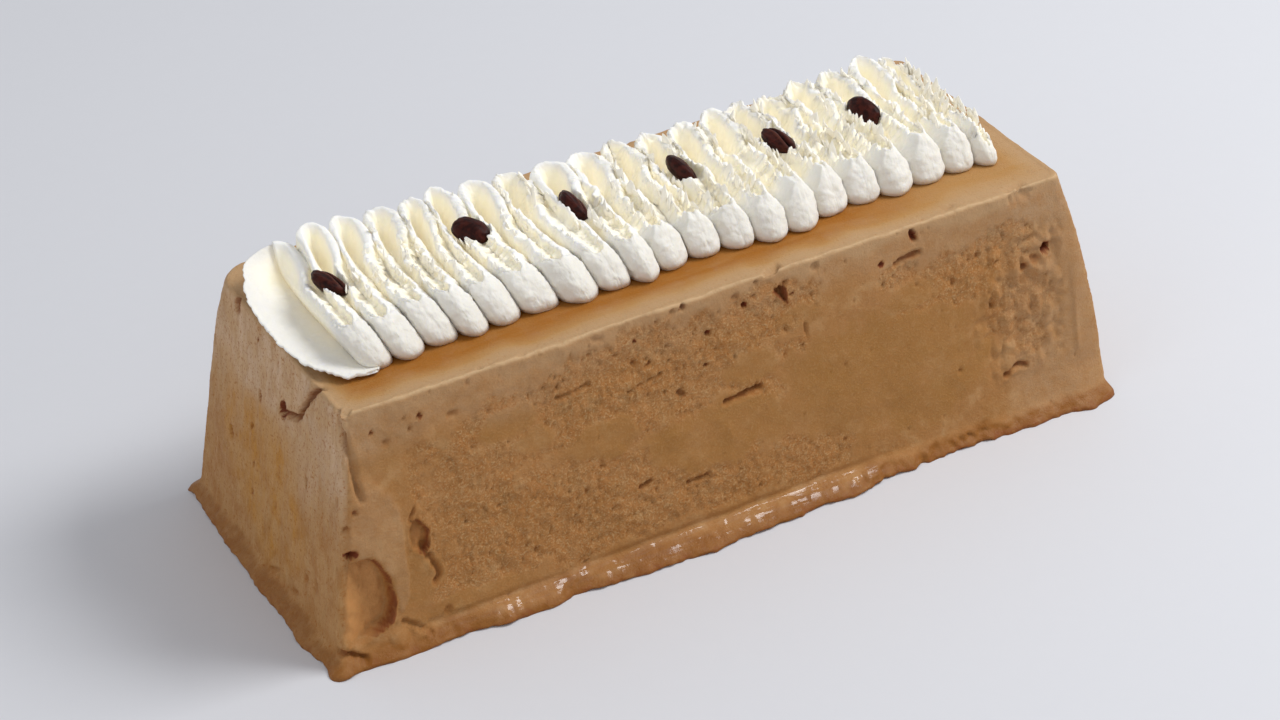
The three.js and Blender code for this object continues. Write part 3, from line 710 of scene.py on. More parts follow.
def breaks(x, z, ox, oy):
    """Depth in mm of the broken hollows, steep right and open left, their painted shade, and their
    freshly broken insides, painted paler, partly as painted light.
    """
    depth, shade, fresh = np.zeros_like(z), np.zeros_like(z), np.zeros_like(z)
    for outline, deep, shallow_at, deep_at, floor_shade, crumbs in BREAKS:
        low, high = np.min(outline, axis=0) - 3, np.max(outline, axis=0) + 3
        wall = (x > low[0]) & (x < high[0]) & (z > low[1]) & (z < high[1])
        wall &= facing("front", ox, oy) > 0.5
        a, b = x[wall], z[wall]
        inside, edge = within(outline, a, b)
        edge = edge + 0.3 * lumps(a, b, 5, 2.2)
        reach = ease(a, shallow_at, deep_at - shallow_at)
        floor = deep * smooth(edge / 1.1 + 0.1) * mix(0.12, 1.0, reach)
        uneven = (1 - 0.7 * reach) * 0.45 * lumps(a * 0.6, b * 1.6, 2, 2.8)
        floor += uneven + crumbs * lumps(a, b, 4, 1.5)
        lip = -0.35 * np.exp(-(edge / 0.7) ** 2) * reach
        depth[wall] += np.where(inside, floor, lip)
        # Painted shade along the inside of the rim, over the floor's own painted shade, and a thin
        # painted shadow just outside the rim.
        rim = np.where(inside, np.maximum(floor_shade, smooth(1.25 - edge)), smooth((0.8 - edge) / 0.6))
        shade[wall] = reach ** 2 * rim
        # The freshly broken insides are painted paler away from the rim, partly as painted light for
        # floors that face away from the key light.
        fresh[wall] = np.where(inside, ease(edge, 0.9, 1.4), 0)
    return depth, shade, fresh


def flap(x, z, ox, oy):
    """Cover, from 0 to 1, of the pale smear of skin beside the near corner."""
    cover = np.zeros_like(z)
    wall = (facing("front", ox, oy) > 0.5) & (x < -96) & (z > 8) & (z < 60)
    inside, edge = within(FLAP, x[wall], z[wall])
    edge = edge + 0.5 * lumps(x[wall], z[wall], 9, 2.2)
    cover[wall] = np.where(inside, smooth(edge / mix(0.9, 5.0, ease(z[wall], 40, 14))), 0)
    return cover


def fold_out(x, y, z, ox, oy):
    """How far in mm the right end leans out beside the front."""
    turned = smooth((np.arctan2(ox, -oy) - 0.1) / 0.7)
    return np.interp(z, FOLD_HEIGHTS, FOLD_OUT) * turned * smooth((-y - 5) / 30) * (x > 0)


def scoops(x, y):
    """Depth in mm of the scoops in the flat top."""
    depth = np.zeros_like(x)
    for at, across, half, rise, deep, slant in SCOOPS:
        edge = oval(x - at, y - across, half, rise, slant) + 0.2 * lumps(x, y, at, 1.6)
        depth += deep * smooth((1 - edge) / 0.45)
    return depth


def pits(x, y, z, ox, oy, porous):
    """Small air pits, seeded, closest together where the crust was pulled off."""
    rng = np.random.default_rng(SEED)
    depth = np.zeros_like(z)
    shape, scale, least = PIT_RADII
    for name, half, count, stretch in PITS:
        along = x if name in ("front", "back") else y
        wall = np.nonzero(facing(name, ox, oy) > 0.8)[0]
        order = wall[np.argsort(along[wall])]
        sorted_along = along[order]
        for at, up, size, chance in zip(
            rng.uniform(-half, half, count), rng.uniform(*PIT_HEIGHTS, count),
            rng.gamma(shape, scale, count) + least, rng.random(count),
        ):
            first, last = np.searchsorted(sorted_along, (at - PIT_SEARCH, at + PIT_SEARCH))
            near = order[first:last]
            gap = np.hypot(along[near] - at, (z[near] - up) * stretch * rng.uniform(0.7, 1.3))
            if not len(gap) or chance > mix(PIT_CHANCE, 1, porous[near[np.argmin(gap)]]):
                continue
            depth[near] += 0.9 * size * smooth(1.2 - gap / size)
    return depth


def patches(x, z, spots, ragged):
    """Soft-edged patches of the long side, from 0 to 1."""
    cover = np.zeros_like(z)
    for at, up, half, rise, strength in spots:
        edge = np.hypot((x - at) / half, (z - up) / rise) + ragged * lumps(x, z, up, 6)
        edge += 0.5 * ragged * lumps(x, z, at, 2.6)
        cover = np.maximum(cover, strength * smooth((1.15 - edge) / 0.4))
    return cover


def foot_relief(x, y, z, ox, oy):
    """The melted foot: a wet bead along the front, a thin crumbly edge beyond it, then a skirt."""
    front = smooth(-oy)
    low = 1 - ease(z, 1.5, 4)
    wave = (0.35 + 0.35 * front) * lumps(x, y, 0, 11) + 0.35 * lumps(x, y, 0, 4.2)
    bead = span(x, *BEAD) * front
    ledge = span(x, *LEDGE) * front
    roll = np.clip(1 - ((z - 2.0) / 2.4) ** 2, 0, 1) ** 0.5 * (1 + 0.3 * lumps(x, y, 0, 5))
    ripples = 0.3 * lumps(x * 0.24, y, z * 1.5, 1.3) * bead * (1 - ease(z, 4, 2))
    crumbly = (0.4 + 0.5 * ledge) * lumps(x, y, z * 1.3, 1.7) * (1 - ease(z, 2.6, 2))
    groove = 0.6 * np.exp(-((z - 5.2) / 0.9) ** 2) * bead
    tuck = -0.9 * (1 - smooth(z / 0.8))
    skirt = ease(x, -60, 110) * front
    puddle = np.interp(x, *FOOT_FRONT) * front + np.interp(y, *FOOT_LEFT) * smooth(-ox)
    spread = 1.0 * (1 - ease(z, 1, 5)) + 1.8 * ease(x, 70, 40) * (1 - smooth(z / 14))
    square = np.maximum(np.abs(ox), np.abs(oy)) ** 6
    swollen = (0.1 + 1.5 * bead + 0.5 * ledge) * roll * square
    relief = low * wave + swollen + ripples + crumbly - groove + tuck
    relief += skirt * spread + puddle * (1 - ease(z, 0.9, 3.6))
    for cx, cy, radius, push, tall in FOOT_BULGES:
        reach = np.hypot(x - cx, y - cy) / radius
        relief += push * (1 - smooth(reach)) * (1 - smooth((z - 2) / tall))
    for at, up, radius, rise in KNOBS:
        reach = np.hypot(x - at, (z - up) * 1.2) / radius
        relief += rise * np.clip(1 - reach ** 2, 0, 1) * front
    return relief


def crusts(x, y, z, ox, oy):
    """Shares from 0 to 1 of smooth smears, porous ground, the pale flap and coarse crags."""
    front, back = squarely(-oy), squarely(oy)
    smear = patches(x, z, SMEARS, 0.22) * front + 0.6 * back * smooth(-lumps(x, y, z, 24))
    ground = 0.62 * smooth((32 - x) / 20) * ease(x, -99, 5) * ease(z, 6, 5)
    ground *= smooth((64 - z + 6 * lumps(x, y, 0, 14)) / 7)
    loose = np.maximum(patches(x, z, POROUS, 0.25), ground) * front
    loose += 0.5 * back * smooth(lumps(x, y, z, 24) + 0.3)
    loose = np.maximum(loose, 0.3 * squarely(ox)) * (1 - smear * 0.85)
    porous = smooth((loose - 0.3 + layered(x, y, z, (0.24, 5), (0.2, 2.2), (0.12, 1.1))) / 0.4)
    skin = flap(x, z, ox, oy)
    coarse = smooth((x - 82 + 6 * lumps(x, y, z, 9)) / 8) * smooth((113 - x) / 4) * front
    coarse *= ease(z, 12, 10) * smooth((64 - z) / 8)
    return smear, porous * (1 - skin), skin, coarse


def wall_relief(x, y, z, ox, oy, porous, skin, coarse):
    """How far in mm the walls rise and sink, from broad waves down to single grains."""
    fade, end = smooth(z / MELT_HEIGHT), np.abs(ox) ** 2
    relief = 0.5 * lumps(x, y, z, 15) - 0.25 * porous * fade + FLAP_RISE * skin
    relief += 0.5 * np.exp(-(distance(x, y, z, RIDGE) / 0.8) ** 2)
    crags = 1.5 * np.abs(lumps(x, y, z * 0.8, 3.4)) - 0.6 + 0.6 * lumps(x, y, z, 1.9)
    relief += fade * coarse * crags
    relief += fade * end * (0.16 * lumps(x, y, z * 0.22, 2.6) + 0.14 * lumps(x, y, z * 0.25, 1.1))
    relief += fade * (1 - end) * layered(x, y, z, (0.25, 6), (0.08 + 0.16 * porous, 2.2))
    relief += fade * (0.05 + 0.26 * porous) * lumps(x, y, z, 1.15)
    corner = np.exp(-((np.abs(oy) - 0.75) / 0.22) ** 2) * (x < 0) * (y < 0)
    return relief + fade * corner * layered(x, y, z, (0.5, 6), (0.4, 2.5), (0.3, 1.3))


def top_relief(x, y, inset, top, carved):
    """How far in mm the flat top rises and sinks: ripples, the raised edge, dents and scoops."""
    edge = np.exp(-((inset - 0.8) / 0.6) ** 2) * top
    lip = edge * (0.35 + layered(x, y, 0, (0.25, 6), (0.2, 1.8)))
    ripple = layered(x, y, 0, (0.16, 9), (0.07, 3.4))
    ripple += 0.12 * lumps(x, y, 0, 1.6) * smooth((4 - inset) / 3)
    dent = carved * top * smooth((3.0 - inset) / 2.5) * 0.5 + scoops(x, y) * top
    return top * ripple * smooth((TOP_INSETS[0] - inset) / 8) + lip - dent


def build_loaf(settings):
    """The frozen loaf, its walls as rings of one closed skin."""
    columns = wall_columns()
    count = len(columns[0])
    rings = wall_rings(settings.height / MM)
    piece, column, row = grid("frozen_loaf", count, len(rings) - 1)
    picked = [values[column % count] for values in columns]
    z, inset, rough, top = (rings[len(rings) - 1 - row, n] for n in range(4))
    x, y, ox, oy = wall_points(settings, picked, (z, inset))
    smear, porous, skin, coarse = crusts(x, y, z, ox, oy)
    broken, shade, fresh = breaks(x, z, ox, oy)
    carved, hollow_shade = hollows(x, y, z, ox, oy)
    pitted = pits(x, y, z, ox, oy, porous)
    relief = wall_relief(x, y, z, ox, oy, porous, skin, coarse) - (carved + pitted + broken)
    relief = relief * rough + foot_relief(x, y, z, ox, oy) * smooth((15 - z) / 4)
    x, y = x + ox * relief + fold_out(x, y, z, ox, oy) * rough, y + oy * relief
    place(piece, x, y, z + top_relief(x, y, inset, top, carved))
    # Painted shade in the dents, cracks, pits and breaks, darker the deeper they are.
    cut = np.maximum.reduce([hollow_shade, 0.6 * ease(pitted, 0.12, 0.7), 0.85 * shade])
    paint(piece, cut=cut, fresh=fresh, porous=porous * (1 - 0.3 * coarse), smear=smear)
    paint_loaf(piece, settings, (x, y, z), (ox, oy), inset, top, skin)
    crumbs = np.clip(0.22 + porous + coarse, 0, 1) * smooth(z / MELT_HEIGHT) * rough
    weigh(piece, "crumbs", crumbs * (1 - 0.8 * smear) * (1 - shade))
    close(piece)
    swell(piece, "crumb relief", LOAF_CRUMBS, "crumbs", noise_depth=1)
    return piece


def paint_loaf(piece, settings, places, outward, inset, top, skin):
    """Where the looks of the frozen coffee change with the place, as numbers from 0 to 1."""
    (x, y, z), (ox, oy) = places, outward
    front, left, face = squarely(-oy), squarely(-ox), smooth(-oy * 2 - 0.4)
    beside = settings.top_width / MM / 2 - CREAM_HALF_WIDTH
    beyond = settings.top_length / MM / 2 - CREAM_HALF_LENGTH
    run = 1 - inset / np.maximum(np.where(np.abs(oy) > 0.5, beside, beyond), 1)
    strip = 1 - smooth((run - 0.02) * 1.2 + 0.12 * lumps(x, y, 0, 9))
    band = smooth((z - 69 + 2 * lumps(x, y, 0, 9)) / 3)
    low = smooth((4.8 - z + 1.3 * lumps(x, y, 0, 9) + 0.8 * lumps(x, y, z, 2.5)) / 2.2)
    bead = span(x, *GLOSS) * front
    rim = smooth((1.8 - z + 0.8 * lumps(x, y, 0, 3)) / 1.5)
    corner = smooth((-x - 97) / 10 + 0.3 * lumps(x, y, z, 8)) * front * ease(z, 45, 20)
    upper = smooth((z - 57 + 5 * lumps(x, y, 0, 14)) / 9) * face
    # Painted light: the left end is painted paler higher up, making up for the weak fill light.
    painted_end_light = smooth((z - 24 + 6 * lumps(x, y, 0, 16)) / 34) * left
    right = ease(x, 86, 12) * front * 0.65
    at, up, half, rise = OCHRE_PATCH
    ochre = 1.15 - np.hypot((y - at) / half, (z - up) / rise) + 0.4 * lumps(x, y, z * 0.5, 10)
    paint(
        piece,
        syrup=np.clip(top, 0, 1) * strip * mix(1, 0.42, ease(x, 42, 44)),
        milk=np.maximum(top * 0.9, mix(0.35, 0.7, smooth(x / 40)) * band * face),
        # Painted highlight: a thin light line along the front top edge.
        lip=np.exp(-((inset - 0.4) / 0.3) ** 2) * top * front,
        wet=low * mix(0.7, 1.0, smooth(-oy)),
        gloss=0.7 * bead * smooth(5.6 - z) * ease(z, 1.8, 1.4),
        rust=rim * mix(0.5, 1.0, front * ease(x, -108, 10)),
        end=squarely(np.abs(ox)),
        pale=np.clip(0.35 * corner + 0.6 * upper + right + painted_end_light + 0.45 * skin, 0, 1),
        # Partly painted light: the rosy frost high on the left end also lifts it in place of the weak
        # fill light.
        bloom=left * smooth((z - 30 + 9 * lumps(x, y, z * 0.6, 12)) / 32),
        ochre=smooth(ochre * 2) * left,
    )


# The whipped cream.

def at_turn(values, i):
    """The value that a list of one per turn has at the given turns."""
    return np.asarray(values, float)[np.clip(i, 0, TURNS - 1)]


def turn_x(i):
    """Place along the loaf of the front turns."""
    return FIRST_TURN_X + i * PITCH + at_turn(TURN_DRIFT, i)


def loop_x(i):
    """Place along the loaf of the back loops; the one before the first is the sheet's."""
    return np.where(i < 0, SHEET_LOOP_X, FIRST_LOOP_X + i * PITCH + at_turn(LOOP_DRIFT, i))


def crevice_x(i):
    """Place along the loaf of the crevice behind each front turn."""
    return (turn_x(i) + np.where(i + 1 < TURNS, turn_x(i + 1), turn_x(i) + TAIL_WIDTH)) / 2


def ribbon_x(i, side, a, v):
    """Place along the loaf at a share of half a turn and a share of the way back."""
    front = mix(turn_x(i), crevice_x(side), a)
    back = mix((loop_x(i - 1) + loop_x(i)) / 2, loop_x(side), a)
    return mix(front, back, v)


def crest_height(v):
    """Height of the ribbon's edge over the foot of the cream, before it is torn."""
    return RUFFLE_HEIGHT + BACK_RISE * ease(v, 0.6, 0.3)


def crest_share(v, i):
    """Where the upper edge of the ribbon runs between the middle of a turn and its side."""
    opened = smooth((v - at_turn(SLIT_START, i) + 0.04) / 0.1)
    return mix(mix(0.12, at_turn(SLIT_WIDTH, i), opened), LOOP_SHARE, ease(v, 0.52, 0.34))


def rim_half(v):
    """Half the thickness of the ribbon's edge, as a share of half a turn."""
    return mix(*RIM_HALF, ease(v, 0.6, 0.25))


def half_turn_shares(v, i, k):
    """Shares of the half turn for each line k, closest together at the upper edge."""
    crest = crest_share(v, i)
    inner = np.maximum(crest - rim_half(v) - 0.02, 0.03)
    outer = crest + rim_half(v) + 0.02
    first, last = EDGE_LINES
    a = mix(0 * v, inner, k / first)
    b = mix(inner, outer, (k - first) / (last - first))
    c = mix(outer, 1 + 0 * v, (k - last) / (HALF_TURN_STEPS - last))
    return np.where(k <= first, a, np.where(k <= last, b, c))


def raggedness(i, other, side, right, v, a):
    """How torn the ribbon is: little on the smooth hoods, most on the left walls of turns."""
    here = at_turn(TURN_TORN, i) * np.where(right & (i < CALM_TURNS), CALM_FACTOR, 1.0)
    there = at_turn(TURN_TORN, other) * np.where(~right & (other < CALM_TURNS), CALM_FACTOR, 1.0)
    turn = mix(here, (here + there) / 2, ease(a, 0.6, 0.4))
    loop = np.where(side < 0, 0.03, at_turn(LOOP_TORN, side))
    opened = smooth((v - at_turn(SLIT_START, i) + 0.02) / 0.06)
    return mix(turn * opened, loop, ease(v, 0.62, 0.16))


def torn_edge(x, y, v, side, amount):
    """How far the torn upper edge of the ribbon is bitten down, in mm: teeth between bites."""
    y = y + 1.1 * (x - loop_x(side)) * ease(v, 0.72, 0.16)
    wide = np.abs(lumps(y, x * 0.3, side * 3.1, 2.6))
    narrow = np.abs(lumps(y, x * 0.3, side * 5.3, 1.3))
    slow = smooth(-lumps(y, x * 0.2, side * 2.3, 4.5))
    wander = 0.4 + 0.6 * smooth(0.5 + 1.6 * lumps(y, x * 0.2, side * 1.9, 6))
    teeth = np.abs((y / TOOTH_PITCH + 0.9 * lumps(y, x * 0.3, side * 2.7, 4)) % 1 - 0.5) * 2
    bite = LUMP_DEPTH * wide + TOOTH_DEPTH * teeth + narrow + slow
    return amount * wander * bite * mix(1.0, 1.3, ease(side, CALM_TURNS, 3))


def ribbon_height(a, v, top, x, y, i, side, torn):
    """Height over the foot of the cream: rounded edge, slit inside the turn, trough outside."""
    crest, half = crest_share(v, i), rim_half(v)
    start = at_turn(SLIT_START, i)
    opened = smooth((v - start + 0.03) / 0.06)
    back = ease(v, 0.6, 0.25)
    far = ease(i, CALM_TURNS, 3)
    middle = mix(VALLEY[1], VALLEY[1] - 1.2, far)
    low = mix(mix(VALLEY[0], middle, ease(v, 0.06, 0.2)), VALLEY[2], ease(v, 0.5, 0.25))
    rise = np.clip((v - LOOP_START) / 0.13, 0, 1)
    ragged = torn * far * span(v, 0.18, 0.1, 0.72, 0.12)
    leaves = np.clip(1 - np.abs(lumps(x, y * 0.5, side * 3.7, 3.2)) / 0.4, 0, 1)
    leaves *= 0.55 + 0.45 * np.abs(lumps(y, x, side, 2.2))
    trough = mix(low, top - 0.3, rise ** 2.0) + 3.6 * ragged * leaves
    shards = np.clip(1 - np.abs(lumps(x, y * 0.5, i * 2.9, 2.8)) / 0.4, 0, 1)
    shards *= (0.08 + 2.42 * far) * torn * (0.55 + 0.45 * np.abs(lumps(y, x, i, 2.2)))
    slit = mix(top - SLIT_TOP, top - mix(*SLIT_FRONT, far), ease(v, start, 0.05))
    slit = mix(slit, top - mix(*SLIT_MIDDLE, far), ease(v, 0.35, 0.3))
    slit = mix(slit, top - SLIT_BACK, ease(v, 0.68, 0.2)) + shards * ease(v, start, 0.1)
    slit = np.clip(slit, 1.0, top - SLIT_TOP)
    d = a - crest
    room = np.maximum(np.where(d > 0, 1 - crest, crest) - half, 1e-3)
    t = np.clip((np.abs(d) - half) / room, 0, 1)
    drop = mix(*RIM_DROP, back) * mix(0.35, 1, opened)
    drop = np.where(d > 0, drop * (1 - rise ** 2), drop)
    rim = top - drop * (1 - np.sqrt(np.clip(1 - (d / half) ** 2 * 0.98, 0.02, 1)))
    nose = mix(1 - np.sqrt(np.clip(1 - t * t, 0, 1)), t ** 1.1, far * ease(v, -0.01, 0.07))
    trough_fall = mix(nose, mix(t ** 1.2, 1 - (1 - t) ** 2.1, back), ease(v, 0.1, 0.3))
    outside = mix(top - drop, trough, trough_fall)
    inside = mix(top - drop, slit, 1 - (1 - t) ** 2.2)
    ridge = np.where(np.abs(d) < half, rim, np.where(d > 0, outside, inside))
    return np.where(d < 0, mix(top, ridge, opened), ridge)


def ruffle_points(column, row, first):
    """Places in mm of the ruffle's upper face from a given turn on, with what the looks need."""
    per_turn = 2 * HALF_TURN_STEPS
    last = column.max() // per_turn - 1
    i = np.minimum(column // per_turn, last)
    local = column - i * per_turn - HALF_TURN_STEPS
    i = i + first
    depth = row / DEPTH_STEPS
    v = mix(depth, 0.5 - 0.5 * np.cos(math.pi * depth), 0.35)
    a = half_turn_shares(v, i, np.abs(local))
    side = np.where(local < 0, i - 1, i)
    other = np.clip(np.where(local < 0, i - 1, i + 1), 0, TURNS - 1)
    reach = at_turn(FRONT_REACH, i)
    near = mix(reach, (reach + at_turn(FRONT_REACH, other)) / 2, a)
    loop_reach = (at_turn(BACK_REACH, i - 1) + at_turn(BACK_REACH, i)) / 2
    far = mix(loop_reach, at_turn(BACK_REACH, side), a)
    y_front = -near + NOSE_DEPTH * (1 - np.sqrt(1 - a * a))
    y_back = far - (NOSE_DEPTH + 1.5) * (1 - np.sqrt(1 - (1 - a) ** 2))
    x, y = ribbon_x(i, side, a, v), mix(y_front, y_back, v)
    signed = i + 0.5 * np.where(local < 0, -a, a)
    whole = RUFFLE_HEIGHT + 0.8 * lumps(x * 1.4, y * 0.5, signed, 9)
    whole += BACK_RISE * ease(v, 0.6, 0.3)
    whole -= FIRST_LOOP_DROP * (side < 0) * ease(v, 0.45, 0.3)
    whole += LOOP_ARCH * ease(v, 0.72, 0.2) * ease(a, 0.2, 0.7)
    whole -= TAIL_DROP * smooth((signed - TURNS + 1.3) / 0.5)
    torn = raggedness(i, other, side, local > 0, v, a)
    top = whole - torn_edge(x, y, v, side, torn)
    height = ribbon_height(a, v, top, x, y, i, side, torn)
    front, behind = np.maximum(0, y - y_front), np.maximum(0, y_back - y)
    slope = mix(NOSE_SLOPE, FAR_NOSE_SLOPE, ease(signed, CALM_TURNS - 1, 5))
    point = mix(0.5, 0.7, ease(signed, CALM_TURNS + 1, 5) * (1 - 0.5 * a))
    nose = whole * np.minimum(1, front / slope) ** point
    loop = (RUFFLE_HEIGHT + 2) * np.minimum(1, behind / LOOP_SLOPE) ** 0.5
    place_along = i + local / per_turn
    ends = (place_along > -0.5 + 1e-6) & (place_along < TURNS - 0.5 - 1e-6)
    h = np.where(ends, np.minimum(height, np.minimum(nose, loop)), 0)
    lean = at_turn(LEAN, i)
    return (x, y, h, v, a, side, torn), SimpleNamespace(
        top=whole, lean=mix(lean, (lean + at_turn(LEAN, other)) / 2, a), crest=crest_share(v, i),
        start=at_turn(SLIT_START, i), seam=np.minimum(column, column.max() - column),
    )


def build_ruffle(settings, name, first, turns):
    """Some turns of the ribbon piped to and fro: noses in front, hoods behind, torn between."""
    piece, column, row = grid(name, 2 * HALF_TURN_STEPS * turns, DEPTH_STEPS)
    (x, y, h, v, a, side, torn), cream = ruffle_points(column, row, first)
    share = h / RUFFLE_HEIGHT
    lean = mix(cream.lean, 0, ease(v, 0.45, 0.5)) * share
    far = ease(side, CALM_TURNS - 1, 3)
    teeth = lumps(x * 0.3, y, side * 4.7, 1.8)
    curl = (0.1 + 1.8 * torn) * share ** 3 * ease(v, 0.12, 0.12) * teeth
    waver = (0.1 + mix(0.5, 1.7, far) * torn) * share * ease(v, 0.1, 0.2)
    waver *= lumps(x * 0.2, y, side * 7.1, 6)
    inner_side = ease(a, 0.02, 0.1)
    tuck = NOSE_UNDERCUT * np.clip(1 - h / 2.6, 0, 1) ** 2 * (1 - ease(v, 0.02, 0.1))
    level = settings.loaf_top / MM + GAP
    x, y, z = seat_beans(x - lean + (curl + waver) * inner_side, y + tuck, level + h)
    place(piece, x, y, z)
    drop = cream.top - (z - level)
    opened = ease(v, cream.start, 0.05)
    inner = (a < cream.crest) * opened * ease(drop, 0.3, 1.4)
    outer = (a >= cream.crest) * ease(v, 0.14, 0.16) * ease(drop, 0.6, 3.2) * 0.95
    # Painted light and shade: the insides of the turns and the troughs get a painted yellow glow of
    # light passing through the cream, the deep folds a deeper painted yellow, and the noses a greyer
    # painted shade.
    paint(
        piece,
        butter=np.maximum(inner, outer),
        nose=1 - smooth((v - 0.06 - 0.1 * (a < cream.crest)) / 0.16),
        fold=ease(drop, 6, 6) * ease(v, 0.1, 0.2) * (a > cream.crest),
    )
    calm = ease(v, 0.5, 0.2) * (1 - np.clip(torn * 1.5, 0, 1))
    calm = np.maximum(calm, 0.8 * inner * (1 - far))
    weigh(piece, "skin", np.clip(h / 2, 0, 1) * (1 - 0.8 * calm) * smooth(cream.seam / 5))
    close(piece)
    swell(piece, name + " dimples", CREAM_DIMPLES, "skin")
    swell(piece, name + " wrinkles", CREAM_WRINKLES, "skin")
    return piece


def bean_frame(seat):
    """Centre in mm and turn of a bean."""
    x, y, z, *angles = seat
    heading, pitch, roll = (
        Matrix.Rotation(math.radians(angle), 3, axis) for angle, axis in zip(angles, "ZYX")
    )
    top = bpy.context.scene.semifreddo_loaf.height / MM
    return np.array([x, y, top + GAP + z]), np.array(heading @ pitch @ roll)


def seat_beans(x, y, z):
    """Presses the beans into the cream: it gives way under and round each of them."""
    beans = bpy.context.scene.semifreddo_beans
    half = np.array([beans.length, beans.width, beans.height]) / MM / 2 + BEAN_ROOM
    for seat in BEAN_SEATS:
        centre, turn = bean_frame(seat)
        spread = turn @ np.diag(half ** 2) @ turn.T
        (along, skew), (_, across) = np.linalg.inv(spread[:2, :2])
        dx, dy = x - centre[0], y - centre[1]
        over = along * dx * dx + 2 * skew * dx * dy + across * dy * dy
        z = np.where(over < 1, np.minimum(z, centre[2] - BEAN_DISH), z)
        offset = np.stack([dx, dy, z - centre[2]], axis=1)
        local = offset @ turn / half
        size = np.linalg.norm(local, axis=1)
        pushed = (local / np.maximum(size, 1e-6)[:, None] * half) @ turn.T
        inside = size < 1
        x = np.where(inside, centre[0] + pushed[:, 0], x)
        y = np.where(inside, centre[1] + pushed[:, 1], y)
        z = np.where(inside, np.maximum(centre[2] + pushed[:, 2], 0), z)
    return x, y, z


def build_first_sheet(settings):
    """The first sheet of cream, on its side over the end of the loaf like a wide spoon."""
    along, across = SHEET_STEPS
    piece, column, row = grid("first_cream_sheet", along, 2 * across)
    s = column / along
    upper = row <= across
    r = np.where(upper, row / across, (2 * across - row) / across)
    turn = (s - 0.5) * math.pi
    rim_x = mix(SHEET_FRONT_X, SHEET_LOOP_X, s) - SHEET_WIDTH * np.clip(np.cos(turn), 0, 1) ** 0.7
    rim_x += SHEET_CURL * ease(s, 0.82, 0.18)
    rim_y = SHEET_CENTRE_Y + SHEET_HALF_LENGTH * np.sin(turn) + 2.6 * ease(s, 0.75, 0.25)
    root_y = SHEET_CENTRE_Y + (SHEET_HALF_LENGTH - 3) * np.sin(turn)
    low = mix(SHEET_RIM[0], SHEET_RIM[1], smooth(s * 1.5))
    rim = mix(low, SHEET_RIM[2], ease(s, 0.55, 0.3)) - SHEET_TIP_DROP * ease(s, 0.92, 0.08) ** 2
    scallop = 0.5 * lumps(rim_x, rim_y, 0, 3.6) + 0.7 * np.abs(lumps(rim_x, rim_y, 0, 1.6))
    scallop += 0.3 * lumps(rim_x, rim_y, 3, 0.8)
    edge = ease(r, 0.88, 0.12) * (1 - ease(s, 0.7, 0.2))
    swing = np.arctan2(rim_y - SHEET_CENTRE_Y, rim_x - SHEET_ROOT_X)
    x = mix(SHEET_ROOT_X, rim_x, r) - edge * scallop * np.cos(swing)
    y = mix(root_y, rim_y, r) - edge * scallop * np.sin(swing)
    floor = SHEET_FLOOR + 0.25 * lumps(x, y, 0, 8)
    top = mix(floor, rim, r ** 1.9) + 0.14 * lumps(x * 0.2, y, 0, 1.2) * smooth((0.9 - r) / 0.3)
    top += edge * 0.4 * lumps(x, y, 5, 2.2)
    h = np.where(upper, top, np.maximum(0.02, top - mix(*SHEET_THICK, r)))
    h = np.where(upper & (r > 0.97), top - 0.25 * (r - 0.97) / 0.03, h)
    level = settings.loaf_top / MM + GAP
    place(piece, x, y, level + h)
    hood = ease(s, 0.62, 0.25)
    # Painted light and shade: the trough and the hood get the painted yellow and glow of light passing
    # through the cream, and the whole sheet is half greyed with painted shade like the noses.
    paint(
        piece,
        fold=upper * smooth((0.8 - r) / 0.45) * (0.35 + 0.5 * hood),
        butter=upper * (0.1 + 0.8 * hood * smooth((0.95 - r) / 0.3)),
        nose=0.5,
    )
    close(piece)
    weigh(piece, "skin", np.full(len(piece.data.vertices), 1.0))
    swell(piece, "sheet dimples", SHEET_DIMPLES, "skin")
    return piece


def build_flakes(settings):
    """Torn leaves of cream that stand up along the ribbon's edge and in front of the beans."""
    rng = np.random.default_rng(SEED + 1)
    level = settings.loaf_top / MM + GAP
    flakes = []
    for x, y, z, size in flake_spots(rng, settings.flakes):
        bpy.ops.object.select_all(action="DESELECT")
        bpy.ops.mesh.primitive_uv_sphere_add(segments=8, ring_count=5, radius=1)
        flake = bpy.context.object
        co = points(flake)
        taper = 1 - 0.55 * smooth((co[:, 2] + 0.2) / 1.2)
        co = co * np.stack([taper, taper, np.ones_like(taper)], axis=1)
        co *= np.array(FLAKE_SHAPE) * size * rng.uniform(0.8, 1.25, 3)
        turn = Euler([rng.uniform(low, high) for low, high in FLAKE_TURNS]).to_matrix()
        co = co @ np.array(turn).T
        place(flake, co[:, 0] + x, co[:, 1] + y, co[:, 2] + z + level)
        flakes.append(flake)
    only(flakes[0])
    for flake in flakes:
        flake.select_set(True)
    bpy.ops.object.join()
    piece = named("cream_flakes")
    bpy.ops.object.shade_smooth()
    # The leaves get some of the painted yellow glow of light passing through thin cream.
    paint(piece, fold=0, butter=0.4, nose=0)
    return piece


